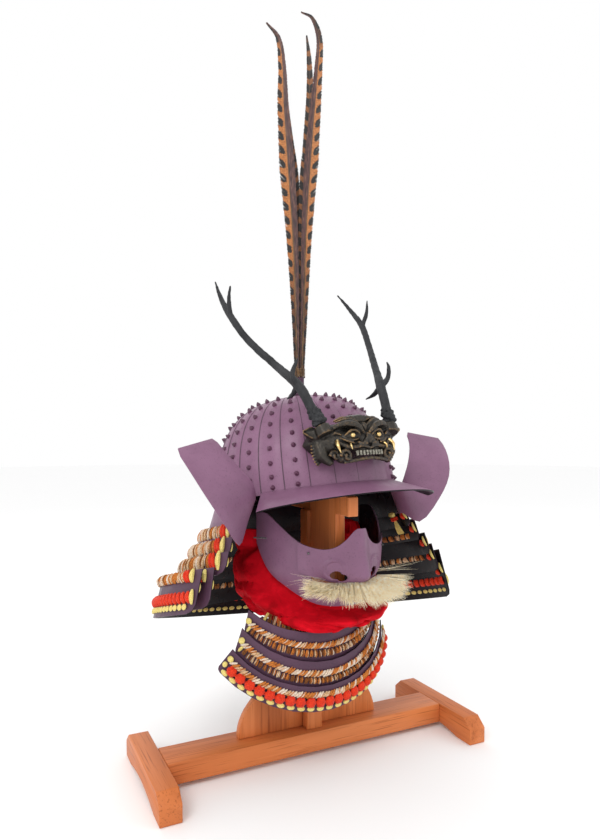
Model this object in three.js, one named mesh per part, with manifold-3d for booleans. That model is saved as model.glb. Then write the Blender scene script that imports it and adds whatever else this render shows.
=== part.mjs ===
// Kabuto: a riveted samurai helmet with turned-back wings, laced neck guard, beast crest with
// antlers, pheasant plume, face mask and throat guard, on its plain wooden stand.
// Millimetres, +Z up. The face looks along -Y and the wearer's left is +X.

import * as THREE from 'three';
import { mergeVertices } from 'three/addons/utils/BufferGeometryUtils.js';
import Module from 'manifold-3d';

const wasm = await Module();
wasm.setup();

const DEG = Math.PI / 180;
const GAP = 0.3; // clearance between pieces that touch

// The whole model is shifted along Y, so that its box is centred over the origin.
const CENTRE_SHIFT_Y = -28.9;

// Wooden stand
const FOOT_INNER_X = 208;
const FOOT_WIDTH = 27;
const FOOT_HALF_LENGTH = 95;
const FOOT_HEIGHT = 35;
const FOOT_CHAMFER_LENGTH = 15;
const FOOT_CHAMFER_DROP = 13;
const FOOT_PAD_LENGTH = 30;
const FOOT_ARCH_RISE = 8;
const BAR_HALF_DEPTH = 25;
const BAR_UNDERSIDE = 7;
const BRACKET_REACH = 106;
const BRACKET_RISE = 80;
const BRACKET_THICKNESS = 12;
const BRACKET_BACK_Y = 10;
const POST_SIZE = 22.7;
const POST_BACK_Y = 5.7;
const BOARD_THICKNESS = 14;
const BOARD_STEP_Z = 342; // where the board steps forward, just under the helmet
const BOARD_FRONT_Y = -121;
const BOARD_LOWER_FRONT_Y = -88;
const BOARD_BOTTOM_Z = 244;
const REST_PEG_RADIUS = 6;
const REST_PEG_LENGTH = 10.8;
const REST_PEG_Z = 252;

// The helmet stands slightly turned, leaning back and to one side on its stand.
const HELMET_SEAT = { y: 8, z: 358.3 };
const HELMET_TURN = 7;
const HELMET_ROLL = -1.45;
const HELMET_LEAN = -11.4;

// Bowl: 24 lapped plates
const PLATES = 24;
const PLATE_LAP = 0.9; // how far each plate's edge stands over the next
const BOWL_HALF_WIDTH = 121.2;
const BOWL_HALF_DEPTH = 123.2;
const BOWL_HEIGHT = 134.5;
const BOWL_WALL = 2.5;
const BOWL_SIDE_POWER = 3.04; // higher is a squarer shoulder
const BOWL_CROWN_POWER = 2.24;
const BOWL_ROWS = 8;

// Peak over the brow
const PEAK_SEAT_SPREAD = 60; // degrees from the front centre to the end of its seat on the bowl
const PEAK_HALF_WIDTH = 136;
const PEAK_REACH = 158;
const PEAK_TIP_Y = -97;
const PEAK_SEAT_Z = 2.5;
const PEAK_EDGE_Z = -15;
const PEAK_TIP_Z = -22;
const PEAK_THICKNESS = 2;

// Neck guard lames, from the bowl's rim down. Each edge is part of an ellipse round the helmet:
// half width, half depth and centre, its height at the side, and its fall towards the back and
// towards the wearer's left. end is the angle from the back at which the lame stops.
const NECK_WALL = 1.8;
const NECK_COLUMNS = 22;
const LAME_CORNER = 10; // radius of the lames' lower corners
const NECK_LAMES = [
  { end: 106,
    top: { width: 124.8, depth: 127, centre: 0, height: 4, back: 0, side: 0 },
    bottom: { width: 141, depth: 144, centre: 8, height: -42, back: 0.02, side: 0.005 } },
  { end: 111,
    top: { width: 144, depth: 148, centre: 7, height: -31, back: 0.01, side: 0.01 },
    bottom: { width: 154, depth: 158, centre: 11, height: -59, back: 0.03, side: 0.02 } },
  { end: 112,
    top: { width: 157, depth: 161, centre: 10, height: -50, back: 0.03, side: 0.02 },
    bottom: { width: 167, depth: 170, centre: 15, height: -79, back: 0.04, side: 0.035 } },
  { end: 114,
    top: { width: 171, depth: 173, centre: 14, height: -70, back: 0.04, side: 0.035 },
    bottom: { width: 180, depth: 182, centre: 19, height: -99, back: 0.05, side: 0.05 } },
  { end: 111,
    top: { width: 186, depth: 187, centre: 18, height: -87, back: 0.05, side: 0.035 },
    bottom: { width: 198, depth: 196, centre: 25, height: -131, back: 0.065, side: 0.02 } },
  { end: 110,
    top: { width: 200, depth: 197, centre: 20, height: -92, back: 0.05, side: 0.06 },
    bottom: { width: 216, depth: 206, centre: 28, height: -153, back: 0.073, side: 0.11 } },
];
// Lacing bands on the lames: which lame, where they run (1 is its top edge, 0 its bottom edge)
const NECK_LACING = [
  { name: 'neck_lacing_1', lame: 1, from: 0.42, to: 0.94, thickness: 4, colour: 0xe9c9a0 },
  { name: 'neck_lacing_2', lame: 2, from: 0.38, to: 0.94, thickness: 4.5, colour: 0xe9c9a0 },
  { name: 'neck_lacing_3', lame: 3, from: 0.34, to: 0.94, thickness: 5, colour: 0xe9c9a0 },
  { name: 'neck_lacing_4', lame: 4, from: 0.68, to: 0.95, thickness: 4.5, colour: 0xe9c9a0 },
  { name: 'neck_lacing_5', lame: 5, from: 0.76, to: 0.97, thickness: 5, colour: 0xe9c9a0 },
  { name: 'neck_hem_knots', lame: 5, from: 0.27, to: 0.48, thickness: 6, colour: 0xf04a22 },
  { name: 'neck_hem_dots', lame: 5, from: 0.08, to: 0.24, thickness: 2.5, colour: 0xf0e080 },
];

// Turned-back wings: the inner and the outer edge, from the lame's end round the fold to the top
const WING_THICKNESS = 1.8;
const WING_CORNER = 3;
const WING_EDGES = [
  { inner: [116.5, -62, -4], outer: [145, -61, -57] },
  { inner: [122, -72, 14], outer: [171, -80, -28] },
  { inner: [136, -68, 35], outer: [191, -86, 2] },
  { inner: [148, -60, 56], outer: [203, -78, 32] },
  { inner: [155, -48.4, 75], outer: [210, -60, 61.4] },
];

// Crest and antlers, in the helmet's frame
const ANTLER = {
  beam: [[53.4, -132, 72], [59, -124, 98], [65, -113, 125.6], [80, -90, 158], [98, -62, 198],
    [108, -40, 238.6], [107, -18, 272], [102.4, 0, 300]],
  beamRadius: [6.8, 6, 6.4, 5, 4.6, 4.6, 3, 1.2],
  browTine: [[66, -112, 126], [75, -118, 137], [73, -125, 149], [69.2, -127, 156.4]],
  browTineRadius: [4.6, 3.4, 2.4, 0.9],
  spur: [[65, -113, 125.6], [64, -97, 119], [63, -80.4, 117]],
  spurRadius: [4.6, 3, 0.9],
  frontTine: [[108, -41, 238], [112, -50, 254], [111, -56.7, 271.2]],
  frontTineRadius: [3.8, 2.8, 1],
};

// Face mask, in the mask's frame: above Z 226, the chin, to the cheek tops
const MASK_TURN = 7;
const MASK_SEAT_Y = 10;
const MASK_WALL = 2;
const MASK_CENTRE_Y = -20;
const MASK_END = 95; // degrees from the front centre
const NOSE_PLATE_END = 50;
const MASK_SECTIONS = [
  { z: 222, halfWidth: 58, halfDepth: 83 },
  { z: 245, halfWidth: 72, halfDepth: 90 },
  { z: 275, halfWidth: 82, halfDepth: 93 },
  { z: 345, halfWidth: 85, halfDepth: 94 },
];
const NOSE_SECTIONS = [
  { z: 240, out: 0, halfWidth: 20 },
  { z: 253, out: 2, halfWidth: 22 },
  { z: 266, out: 20, halfWidth: 15 },
  { z: 276, out: 19, halfWidth: 13 },
  { z: 300, out: 12, halfWidth: 10 },
  { z: 328, out: 9, halfWidth: 8 },
];
// Upper and lower edge of the mask, by angle from the front centre
const MASK_TOP_EDGE = [
  { angle: 0, z: 326 }, { angle: 4, z: 325 }, { angle: 11, z: 312 }, { angle: 20, z: 303 },
  { angle: 32, z: 301 }, { angle: 50, z: 310 }, { angle: 66, z: 328 }, { angle: 80, z: 342 },
  { angle: 95, z: 341 },
];
const MASK_LOWER_EDGE = [
  { angle: 0, z: 226 }, { angle: 35, z: 228 }, { angle: 50, z: 235 }, { angle: 65, z: 249 },
  { angle: 80, z: 266 }, { angle: 95, z: 300 },
];
const MOUTH_Z = 262;
const LIP_DEPTH = 6; // the nose plate's lower edge hangs this far under the mouth line
const LOCKS_A_SIDE = 4;

// Red velvet collar under the mask
const CLOTH_END = 122;
const CLOTH_THICKNESS = 7;
const CLOTH_HALF_WIDTH = 91.5;
const CLOTH_CENTRE_X = -3; // it is pulled a little towards the wearer's right
const CLOTH_HALF_DEPTH = 95;
const CLOTH_CENTRE_Y = -14;
const ROLL_DROP = 13; // the roll lies this far under the mask's edge
const ROLL_TUCK = 16; // and its top this far above it, inside the mask
const ROLL_BULGE = 4;
const CLOTH_LOWER_EDGE = [
  { angle: 0, z: 203 }, { angle: 30, z: 204 }, { angle: 60, z: 215 }, { angle: 90, z: 226 },
  { angle: 122, z: 240 },
];

// Throat guard lames, hung a little towards the wearer's right. Each edge is part of an ellipse:
// half width, half depth and centre, and its height at the front and at the ends.
const THROAT_SHIFT_X = -25;
const THROAT_WALL = 1.8;
const THROAT_COLUMNS = 16;
const THROAT_END = 70;
const THROAT_LAMES = [
  { top: { width: 80, depth: 49, centre: -38, front: 202, ends: 214 },
    bottom: { width: 93, depth: 52, centre: -37, front: 182, ends: 208 } },
  { top: { width: 104, depth: 57, centre: -41, front: 193.6, ends: 226.5 },
    bottom: { width: 106, depth: 66, centre: -29, front: 150, ends: 197 } },
  { top: { width: 110, depth: 70, centre: -30, front: 156.3, ends: 203.3 },
    bottom: { width: 121, depth: 70, centre: -28.5, front: 119, ends: 173 } },
  { top: { width: 125, depth: 72, centre: -30.7, front: 125.7, ends: 179.4 },
    bottom: { width: 140, depth: 97, centre: -6, front: 93.8, ends: 152.7 } },
];
const THROAT_LACING = [
  { name: 'throat_lacing_1', lame: 0, from: 0.3, to: 0.75, thickness: 3, colour: 0xe9c9a0 },
  { name: 'throat_lacing_2', lame: 1, from: 0.24, to: 0.74, thickness: 2.6, colour: 0xe9c9a0 },
  { name: 'throat_lacing_3', lame: 2, from: 0.24, to: 0.78, thickness: 3, colour: 0xe9c9a0 },
  { name: 'throat_lacing_4', lame: 3, from: 0.6, to: 0.8, thickness: 3.5, colour: 0xe9c9a0 },
  { name: 'throat_hem_knots', lame: 3, from: 0.28, to: 0.56, thickness: 5, colour: 0xf04a22 },
  { name: 'throat_hem_dots', lame: 3, from: 0.08, to: 0.25, thickness: 2.5, colour: 0xf0e080 },
];

// Plume of pheasant tail feathers: the vane's widest width, its place in the bundle, and the
// shaft's offset at each height above the socket's foot
const PLUME_TURN = -26.4;
const PLUME_SEAT = { x: -4, y: 23, z: 485 };
const SOCKET_HEIGHT = 37;
const FEATHER_THICKNESS = 1.2;
const FEATHERS = [
  { name: 'feather_1', width: 22, depth: -4.8, shaft: [
    { z: 30, x: -3 }, { z: 142, x: -5.5 }, { z: 231, x: -9 }, { z: 319, x: -15 }, { z: 406, x: -21 },
    { z: 456, x: -22.5 }, { z: 496, x: -28 }, { z: 517, x: -44 }] },
  { name: 'feather_2', width: 17, depth: 4.8, shaft: [
    { z: 30, x: -2 }, { z: 231, x: -5 }, { z: 312, x: -8 }, { z: 372, x: -14 }, { z: 419, x: -18 }] },
  { name: 'feather_3', width: 18, depth: 1.6, shaft: [
    { z: 30, x: 1 }, { z: 142, x: 3 }, { z: 231, x: 5 }, { z: 312, x: 8 }, { z: 354, x: 11 },
    { z: 424, x: 14 }, { z: 472, x: 13 }, { z: 504, x: 10 }] },
  { name: 'feather_4', width: 20, depth: -1.6, shaft: [
    { z: 30, x: 3 }, { z: 94, x: 5 }, { z: 161, x: 7 }, { z: 249, x: 10 }, { z: 354, x: 17 },
    { z: 452, x: 25 }, { z: 496, x: 27 }, { z: 524, x: 18 }, { z: 533, x: 3 }] },
];
// The vane's width at each share of the feather's length
const VANE = [
  { along: 0, width: 0.25 }, { along: 0.2, width: 0.5 }, { along: 0.41, width: 0.78 },
  { along: 0.57, width: 1 }, { along: 0.75, width: 0.7 }, { along: 0.85, width: 0.5 },
  { along: 0.93, width: 0.35 }, { along: 1, width: 0.08 },
];

const FINISH = {
  wood: { color: 0xb97045, roughness: 0.45, metalness: 0 },
  lacquer: { color: 0x8a6a82, roughness: 0.4, metalness: 0.1 },
  lame: { color: 0x5e4458, roughness: 0.4, metalness: 0.1 },
  antler: { color: 0x3a3c3e, roughness: 0.6, metalness: 0 },
  bronze: { color: 0x4a4538, roughness: 0.4, metalness: 0.8 },
  velvet: { color: 0xb00a18, roughness: 0.9, metalness: 0 },
  bristle: { color: 0xf0e0b8, roughness: 0.8, metalness: 0 },
  feather: { color: 0xb06a2c, roughness: 0.8, metalness: 0 },
  brass: { color: 0xb08a4a, roughness: 0.4, metalness: 0.9 },
};

// ---------------------------------------------------------------- shared shape helpers

// A closed mesh needs its shared corners joined. Triangles that collapse on an axis are dropped.
function closed(geometry) {
  geometry.deleteAttribute('normal');
  geometry.deleteAttribute('uv');
  const merged = mergeVertices(geometry, 1e-4);
  const kept = [];
  for (let i = 0; i < merged.index.count; i += 3) {
    const [a, b, c] = [0, 1, 2].map((corner) => merged.index.getX(i + corner));
    if (a !== b && b !== c && c !== a) kept.push(a, b, c);
  }
  merged.setIndex(kept);
  merged.computeVertexNormals();
  return merged;
}

function node(name, geometry, finish) {
  const mesh = new THREE.Mesh(closed(geometry), new THREE.MeshStandardMaterial(finish));
  mesh.name = name;
  return mesh;
}

function toSolid(geometry) {
  const merged = closed(geometry);
  return new wasm.Manifold(new wasm.Mesh({
    numProp: 3,
    vertProperties: new Float32Array(merged.attributes.position.array),
    triVerts: new Uint32Array(merged.index.array),
  }));
}

function fromSolid(solid) {
  const { vertProperties, triVerts } = solid.getMesh();
  const geometry = new THREE.BufferGeometry();
  geometry.setAttribute('position', new THREE.BufferAttribute(vertProperties, 3));
  geometry.setIndex(new THREE.BufferAttribute(triVerts, 1));
  return geometry;
}

function join(geometries) {
  return fromSolid(geometries.map(toSolid).reduce((sum, solid) => sum.add(solid)));
}

const lerp = THREE.MathUtils.lerp;
const vector = ([x, y, z]) => new THREE.Vector3(x, y, z);

// Reads a column of a short table between its rows.
function fromTable(rows, key, value, column) {
  if (value <= rows[0][key]) return rows[0][column];
  for (let i = 1; i < rows.length; i++) {
    if (value <= rows[i][key]) {
      const share = (value - rows[i - 1][key]) / (rows[i][key] - rows[i - 1][key]);
      return lerp(rows[i - 1][column], rows[i][column], share);
    }
  }
  return rows[rows.length - 1][column];
}

// A sheet bent to face(u, v) and lifted off it. It thickens towards the side that across x along
// points to.
function bentPlate(face, thickness, across, along, lift = 0) {
  const geometry = new THREE.BoxGeometry(1, 1, 1, across, along, 1);
  const position = geometry.attributes.position;
  const step = 0.002;
  for (let i = 0; i < position.count; i++) {
    const u = position.getX(i) + 0.5;
    const v = position.getY(i) + 0.5;
    const u0 = Math.max(0, u - step);
    const v0 = Math.max(0, v - step);
    const du = face(Math.min(1, u0 + 2 * step), v).sub(face(u0, v));
    const dv = face(u, Math.min(1, v0 + 2 * step)).sub(face(u, v0));
    const normal = du.cross(dv).normalize();
    const point = face(u, v).addScaledVector(normal, lift + (position.getZ(i) + 0.5) * thickness);
    position.setXYZ(i, point.x, point.y, point.z);
  }
  return geometry;
}

// A rod of changing radius along a smooth curve through the points.
function bentRod(points, radii, sides, steps) {
  const curve = new THREE.CatmullRomCurve3(points.map(vector));
  const frames = curve.computeFrenetFrames(steps);
  const geometry = new THREE.CylinderGeometry(1, 1, 1, sides, steps);
  const position = geometry.attributes.position;
  for (let i = 0; i < position.count; i++) {
    const along = position.getY(i) + 0.5;
    const step = Math.round(along * steps);
    const row = along * (radii.length - 1);
    const low = Math.min(Math.floor(row), radii.length - 2);
    const radius = lerp(radii[low], radii[low + 1], row - low);
    const point = curve.getPointAt(along)
      .addScaledVector(frames.normals[step], position.getX(i) * radius)
      .addScaledVector(frames.binormals[step], -position.getZ(i) * radius);
    position.setXYZ(i, point.x, point.y, point.z);
  }
  return geometry;
}

function ball(centre, radii, around = 7) {
  return new THREE.SphereGeometry(1, around, Math.round(around * 0.6))
    .scale(...radii)
    .translate(...centre);
}

function block(x0, x1, y0, y1, z0, z1) {
  return new THREE.BoxGeometry(x1 - x0, y1 - y0, z1 - z0)
    .translate((x0 + x1) / 2, (y0 + y1) / 2, (z0 + z1) / 2);
}

// A board cut to a side outline in Y and Z, from x to x + width.
function boardAcross(outline, x, width) {
  const axes = new THREE.Matrix4().makeBasis(
    new THREE.Vector3(0, 1, 0), new THREE.Vector3(0, 0, 1), new THREE.Vector3(1, 0, 0));
  return new THREE.ExtrudeGeometry(outline, { depth: width, bevelEnabled: false, curveSegments: 6 })
    .applyMatrix4(axes)
    .translate(x, 0, 0);
}

// ---------------------------------------------------------------- groups

const kabuto = new THREE.Group();
kabuto.position.y = CENTRE_SHIFT_Y;

const helmet = new THREE.Group();
helmet.position.set(0, HELMET_SEAT.y, HELMET_SEAT.z);
helmet.rotation.set(HELMET_LEAN * DEG, HELMET_ROLL * DEG, HELMET_TURN * DEG, 'ZYX');
helmet.updateMatrix();
kabuto.add(helmet);

const maskGroup = new THREE.Group();
maskGroup.position.y = MASK_SEAT_Y;
maskGroup.rotation.z = MASK_TURN * DEG;
kabuto.add(maskGroup);

const throatGroup = maskGroup.clone();
throatGroup.position.x = THROAT_SHIFT_X;
kabuto.add(throatGroup);

// ---------------------------------------------------------------- bowl profile

// Height of the bowl's wall over its rim plane, at a place on the plan.
function bowlHeight(x, y, inset = 0) {
  const out = Math.hypot(x / (BOWL_HALF_WIDTH - inset), y / (BOWL_HALF_DEPTH - inset));
  const rest = Math.max(0, 1 - out ** BOWL_SIDE_POWER);
  return (BOWL_HEIGHT - inset) * rest ** (1 / BOWL_CROWN_POWER);
}

// Profile points from the rim to the crown, closer together where the wall turns.
function bowlProfile(inset, rows) {
  const points = [];
  for (let i = rows; i >= 0; i--) {
    const share = Math.sin((i / rows) * Math.PI / 2);
    const rest = Math.max(0, 1 - share ** BOWL_SIDE_POWER);
    points.push(new THREE.Vector2(
      share * (BOWL_HALF_WIDTH - inset),
      (BOWL_HEIGHT - inset) * rest ** (1 / BOWL_CROWN_POWER)));
  }
  return points;
}

// The bowl's shell. Each plate is flat across its width, and its far edge laps over the next.
function bowlShell() {
  const inner = bowlProfile(BOWL_WALL, BOWL_ROWS).reverse();
  const profile = [...inner, ...bowlProfile(0, BOWL_ROWS)];
  const geometry = new THREE.LatheGeometry(profile, 2 * PLATES).rotateX(Math.PI / 2);
  const position = geometry.attributes.position;
  const plateAngle = 2 * Math.PI / PLATES;
  for (let i = 0; i < position.count; i++) {
    const ring = Math.floor(i / profile.length) % (2 * PLATES);
    const isOuter = i % profile.length >= inner.length;
    const isLapped = ring % 2 === 1;
    const angle = (Math.floor(ring / 2) + (isLapped ? 0.97 : 0)) * plateAngle;
    const flat = Math.hypot(position.getX(i), position.getY(i));
    const radius = flat > 1 && isOuter && isLapped ? flat + PLATE_LAP : flat;
    position.setX(i, radius * Math.sin(angle));
    position.setY(i, -radius * Math.cos(angle) * BOWL_HALF_DEPTH / BOWL_HALF_WIDTH);
  }
  return geometry;
}

// The room that the bowl takes up, which pieces set against it are cut back from.
function bowlRoom(clearance) {
  const profile = [new THREE.Vector2(0, -60), new THREE.Vector2(BOWL_HALF_WIDTH + clearance, -60),
    ...bowlProfile(-clearance, 14)];
  return new THREE.LatheGeometry(profile, 2 * PLATES)
    .rotateX(Math.PI / 2)
    .scale(1, BOWL_HALF_DEPTH / BOWL_HALF_WIDTH, 1);
}

// ---------------------------------------------------------------- stand

function footOutline() {
  const L = FOOT_HALF_LENGTH;
  const archHalf = L - FOOT_PAD_LENGTH;
  const archRadius = (archHalf ** 2 + FOOT_ARCH_RISE ** 2) / (2 * FOOT_ARCH_RISE);
  const archAngle = Math.asin(archHalf / archRadius);
  const outline = new THREE.Shape();
  outline.moveTo(-L, 0);
  outline.lineTo(-archHalf, 0);
  outline.absarc(0, FOOT_ARCH_RISE - archRadius, archRadius,
    Math.PI / 2 + archAngle, Math.PI / 2 - archAngle, true);
  outline.lineTo(L, 0);
  outline.lineTo(L, FOOT_HEIGHT - FOOT_CHAMFER_DROP);
  outline.lineTo(L - FOOT_CHAMFER_LENGTH, FOOT_HEIGHT);
  outline.lineTo(-L + FOOT_CHAMFER_LENGTH, FOOT_HEIGHT);
  outline.lineTo(-L, FOOT_HEIGHT - FOOT_CHAMFER_DROP);
  return outline;
}

// A quarter-round board that braces one side of the post.
function bracket(side) {
  const inner = POST_SIZE / 2 + GAP;
  const base = FOOT_HEIGHT + GAP;
  const startAngle = Math.acos(inner / BRACKET_REACH);
  const outline = new THREE.Shape();
  outline.moveTo(inner, base);
  outline.lineTo(BRACKET_REACH, base);
  outline.absellipse(0, base, BRACKET_REACH, BRACKET_RISE, 0, startAngle, false);
  const mirrored = new THREE.Shape(outline.getPoints(8).map(
    (point) => new THREE.Vector2(side * point.x, point.y)));
  return new THREE.ExtrudeGeometry(mirrored, { depth: BRACKET_THICKNESS, bevelEnabled: false })
    .rotateX(Math.PI / 2)
    .translate(0, BRACKET_BACK_Y, 0);
}

// The board that carries the bowl. Its top follows the inside of the bowl.
function headBoard() {
  const clearance = BOARD_THICKNESS * 0.17;
  const underBowl = (y) => vector([0, y, bowlHeight(0, y, BOWL_WALL)]).applyMatrix4(helmet.matrix);
  const outline = new THREE.Shape();
  const postFront = POST_BACK_Y - POST_SIZE;
  outline.moveTo(postFront - GAP, BOARD_BOTTOM_Z - 26);
  outline.lineTo(postFront - GAP, BOARD_STEP_Z - 2);
  outline.lineTo(POST_BACK_Y + 60, BOARD_STEP_Z - 2);
  for (const y of [62, 45, 20, -10, -40, -65, -85, -98]) {
    const point = underBowl(y);
    outline.lineTo(point.y, point.z - clearance);
  }
  outline.lineTo(BOARD_FRONT_Y + 16, BOARD_STEP_Z + 27);
  outline.lineTo(BOARD_FRONT_Y, BOARD_STEP_Z + 24);
  outline.lineTo(BOARD_FRONT_Y, BOARD_STEP_Z);
  outline.lineTo(BOARD_LOWER_FRONT_Y, BOARD_STEP_Z);
  outline.lineTo(BOARD_LOWER_FRONT_Y, BOARD_BOTTOM_Z);
  return boardAcross(outline, -BOARD_THICKNESS / 2, BOARD_THICKNESS);
}

for (const [name, side] of [['stand_foot_right', -1], ['stand_foot_left', 1]]) {
  const x = side > 0 ? FOOT_INNER_X : -FOOT_INNER_X - FOOT_WIDTH;
  kabuto.add(node(name, boardAcross(footOutline(), x, FOOT_WIDTH), FINISH.wood));
}
kabuto.add(node('stand_crossbar',
  block(-FOOT_INNER_X + GAP, FOOT_INNER_X - GAP, -BAR_HALF_DEPTH, BAR_HALF_DEPTH,
    BAR_UNDERSIDE, FOOT_HEIGHT), FINISH.wood));
kabuto.add(node('stand_bracket_right', bracket(-1), FINISH.wood));
kabuto.add(node('stand_bracket_left', bracket(1), FINISH.wood));
kabuto.add(node('stand_post',
  block(-POST_SIZE / 2, POST_SIZE / 2, POST_BACK_Y - POST_SIZE, POST_BACK_Y,
    FOOT_HEIGHT + GAP, BOARD_STEP_Z - 2 - GAP), FINISH.wood));
kabuto.add(node('stand_head_board', headBoard(), FINISH.wood));

// ---------------------------------------------------------------- bowl, peak, neck guard

helmet.add(node('bowl', bowlShell(), FINISH.lacquer));

function peak() {
  const clearance = PLATE_LAP + 4 * GAP;
  const face = (u, v) => {
    const side = 2 * u - 1;
    const seat = side * PEAK_SEAT_SPREAD * DEG;
    const swing = side * 90 * DEG;
    const inner = vector([
      (BOWL_HALF_WIDTH + clearance) * Math.sin(seat),
      -(BOWL_HALF_DEPTH + clearance) * Math.cos(seat),
      PEAK_SEAT_Z]);
    const outer = vector([
      PEAK_HALF_WIDTH * Math.sin(swing),
      lerp(PEAK_TIP_Y, -PEAK_REACH, Math.cos(swing)),
      lerp(PEAK_EDGE_Z, PEAK_TIP_Z, Math.abs(side) ** 1.5)]);
    return inner.lerp(outer, v);
  };
  return bentPlate(face, PEAK_THICKNESS, 20, 2);
}
helmet.add(node('peak', peak(), FINISH.lacquer));

function neckEdge(edge, angle) {
  const x = edge.width * Math.sin(angle * DEG);
  const y = edge.centre + edge.depth * Math.cos(angle * DEG);
  return vector([x, y, edge.height - edge.back * y - edge.side * x]);
}

// A strip round a lame, from one share of its height to another, standing off its outer face.
// Columns crowd together at both ends, where the lower corners are rounded.
function lameStrip(edgeAt, end, from, to, corner, thickness, columns, lift) {
  const ends = [{ u: 0, at: 0 }, { u: 1 / columns, at: 0.005 }, { u: 2 / columns, at: 0.018 },
    { u: 1 - 2 / columns, at: 0.982 }, { u: 1 - 1 / columns, at: 0.995 }, { u: 1, at: 1 }];
  const face = (u, v) => {
    const at = fromTable(ends, 'u', u, 'at');
    const angle = lerp(-end, end, at);
    const low = edgeAt('bottom', angle);
    const high = edgeAt('top', angle);
    const intoCorner = Math.max(0, 1 - Math.min(at, 1 - at) / 0.018);
    const rise = (corner / low.distanceTo(high)) * (1 - Math.sqrt(1 - intoCorner ** 2));
    return low.lerp(high, Math.max(rise, lerp(from, to, v)) * (1 - v) + to * v);
  };
  return bentPlate(face, thickness, columns, 1, lift);
}

function neckStrip(lame, from, to, thickness, lift) {
  const edgeAt = (edge, angle) => neckEdge(lame[edge], angle);
  return lameStrip(edgeAt, lame.end, from, to, LAME_CORNER, thickness, NECK_COLUMNS, lift);
}

NECK_LAMES.forEach((lame, i) => {
  const strip = neckStrip(lame, 0, 1, NECK_WALL, 0);
  helmet.add(node(`neck_lame_${i + 1}`, strip, i ? FINISH.lame : FINISH.lacquer));
});
for (const row of NECK_LACING) {
  const lift = -row.thickness - 2 * GAP;
  const strip = neckStrip(NECK_LAMES[row.lame], row.from, row.to, row.thickness, lift);
  helmet.add(node(row.name, strip, { color: row.colour, roughness: 0.8, metalness: 0 }));
}

// A wing is the top lame's end, folded forward and out and swept back beside the bowl.
function wing(side) {
  const lame = NECK_LAMES[0];
  const rootAngle = lame.end + 0.35;
  const roots = [rootAngle, rootAngle + 6];
  const inner = [...roots.map((angle) => neckEdge(lame.top, angle)),
    ...WING_EDGES.map((row) => vector(row.inner))];
  const outer = [...roots.map((angle) => neckEdge(lame.bottom, angle)),
    ...WING_EDGES.map((row) => vector(row.outer))];
  const innerCurve = new THREE.CatmullRomCurve3(inner);
  const outerCurve = new THREE.CatmullRomCurve3(outer);
  const topWidth = inner[inner.length - 1].distanceTo(outer[outer.length - 1]);
  const face = (u, v) => {
    const intoCorner = Math.max(0, v - 0.94) / 0.06;
    const inset = (WING_CORNER / topWidth) * (1 - Math.sqrt(Math.max(0, 1 - intoCorner ** 2)));
    const share = lerp(inset, 1 - inset, side > 0 ? u : 1 - u);
    const point = innerCurve.getPoint(v).lerp(outerCurve.getPoint(v), share);
    return point.setX(side * point.x);
  };
  return bentPlate(face, WING_THICKNESS, 4, 18);
}
helmet.add(node('wing_right', wing(-1), FINISH.lacquer));
helmet.add(node('wing_left', wing(1), FINISH.lacquer));

// ---------------------------------------------------------------- crest and antlers

// A place on the antler's axis, below its root.
function antlerFoot(below) {
  const beam = new THREE.CatmullRomCurve3(ANTLER.beam.map(vector));
  return beam.getPoint(0).addScaledVector(beam.getTangent(0), -below).toArray();
}

// The cast beast mask: a broad face with brows, eyes, muzzle, jaw curls, ears and cheek fins.
function crest() {
  const face = [
    ball([0, -110, 52], [66, 41, 27], 12),
    ball([0, -143, 49], [9, 12, 9]),
    ball([0, -141, 40], [24, 13, 9]),
    ball([0, -134, 76], [26, 10, 9]),
  ];
  for (const side of [-1, 1]) {
    const mirror = ([x, y, z]) => [side * x, y, z];
    face.push(
      ball(mirror([19.8, -144.5, 56]), [5, 6, 5]),
      ball(mirror([31.7, -138, 31]), [10, 9, 9]),
      bentRod([[6, -147, 62], [18, -148, 70], [34, -141, 68], [46, -133, 62]].map(mirror),
        [3, 4.5, 4, 1.5], 6, 6),
      bentRod([[38, -133, 50], [42, -145, 45], [42, -148, 36]].map(mirror), [4, 3, 0.8], 6, 4),
      bentRod([[52, -122, 60], [64, -122, 63], [75, -124, 65]].map(mirror), [11, 8, 1], 7, 4),
      bentRod([[50, -120, 52], [52, -124, 38], [42, -130, 24]].map(mirror), [12, 10, 4], 7, 4),
      bentRod([antlerFoot(14), antlerFoot(3 * GAP)].map(mirror), [11.5, 10], 8, 1),
    );
  }
  const body = face.map(toSolid).reduce((sum, solid) => sum.add(solid));
  return fromSolid(body.subtract(toSolid(bowlRoom(PLATE_LAP + 2 * GAP))));
}
helmet.add(node('crest', crest(), FINISH.bronze));

function antler(side) {
  const mirror = ([x, y, z]) => [side * x, y, z];
  return join([
    bentRod(ANTLER.beam.map(mirror), ANTLER.beamRadius, 6, 12),
    bentRod(ANTLER.browTine.map(mirror), ANTLER.browTineRadius, 5, 4),
    bentRod(ANTLER.spur.map(mirror), ANTLER.spurRadius, 5, 3),
    bentRod(ANTLER.frontTine.map(mirror), ANTLER.frontTineRadius, 5, 3),
    bentRod([antlerFoot(-2), antlerFoot(-12)].map(mirror), [9.5, 8], 8, 1),
  ]);
}
helmet.add(node('antler_right', antler(-1), FINISH.antler));
helmet.add(node('antler_left', antler(1), FINISH.antler));

// ---------------------------------------------------------------- face mask

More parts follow.
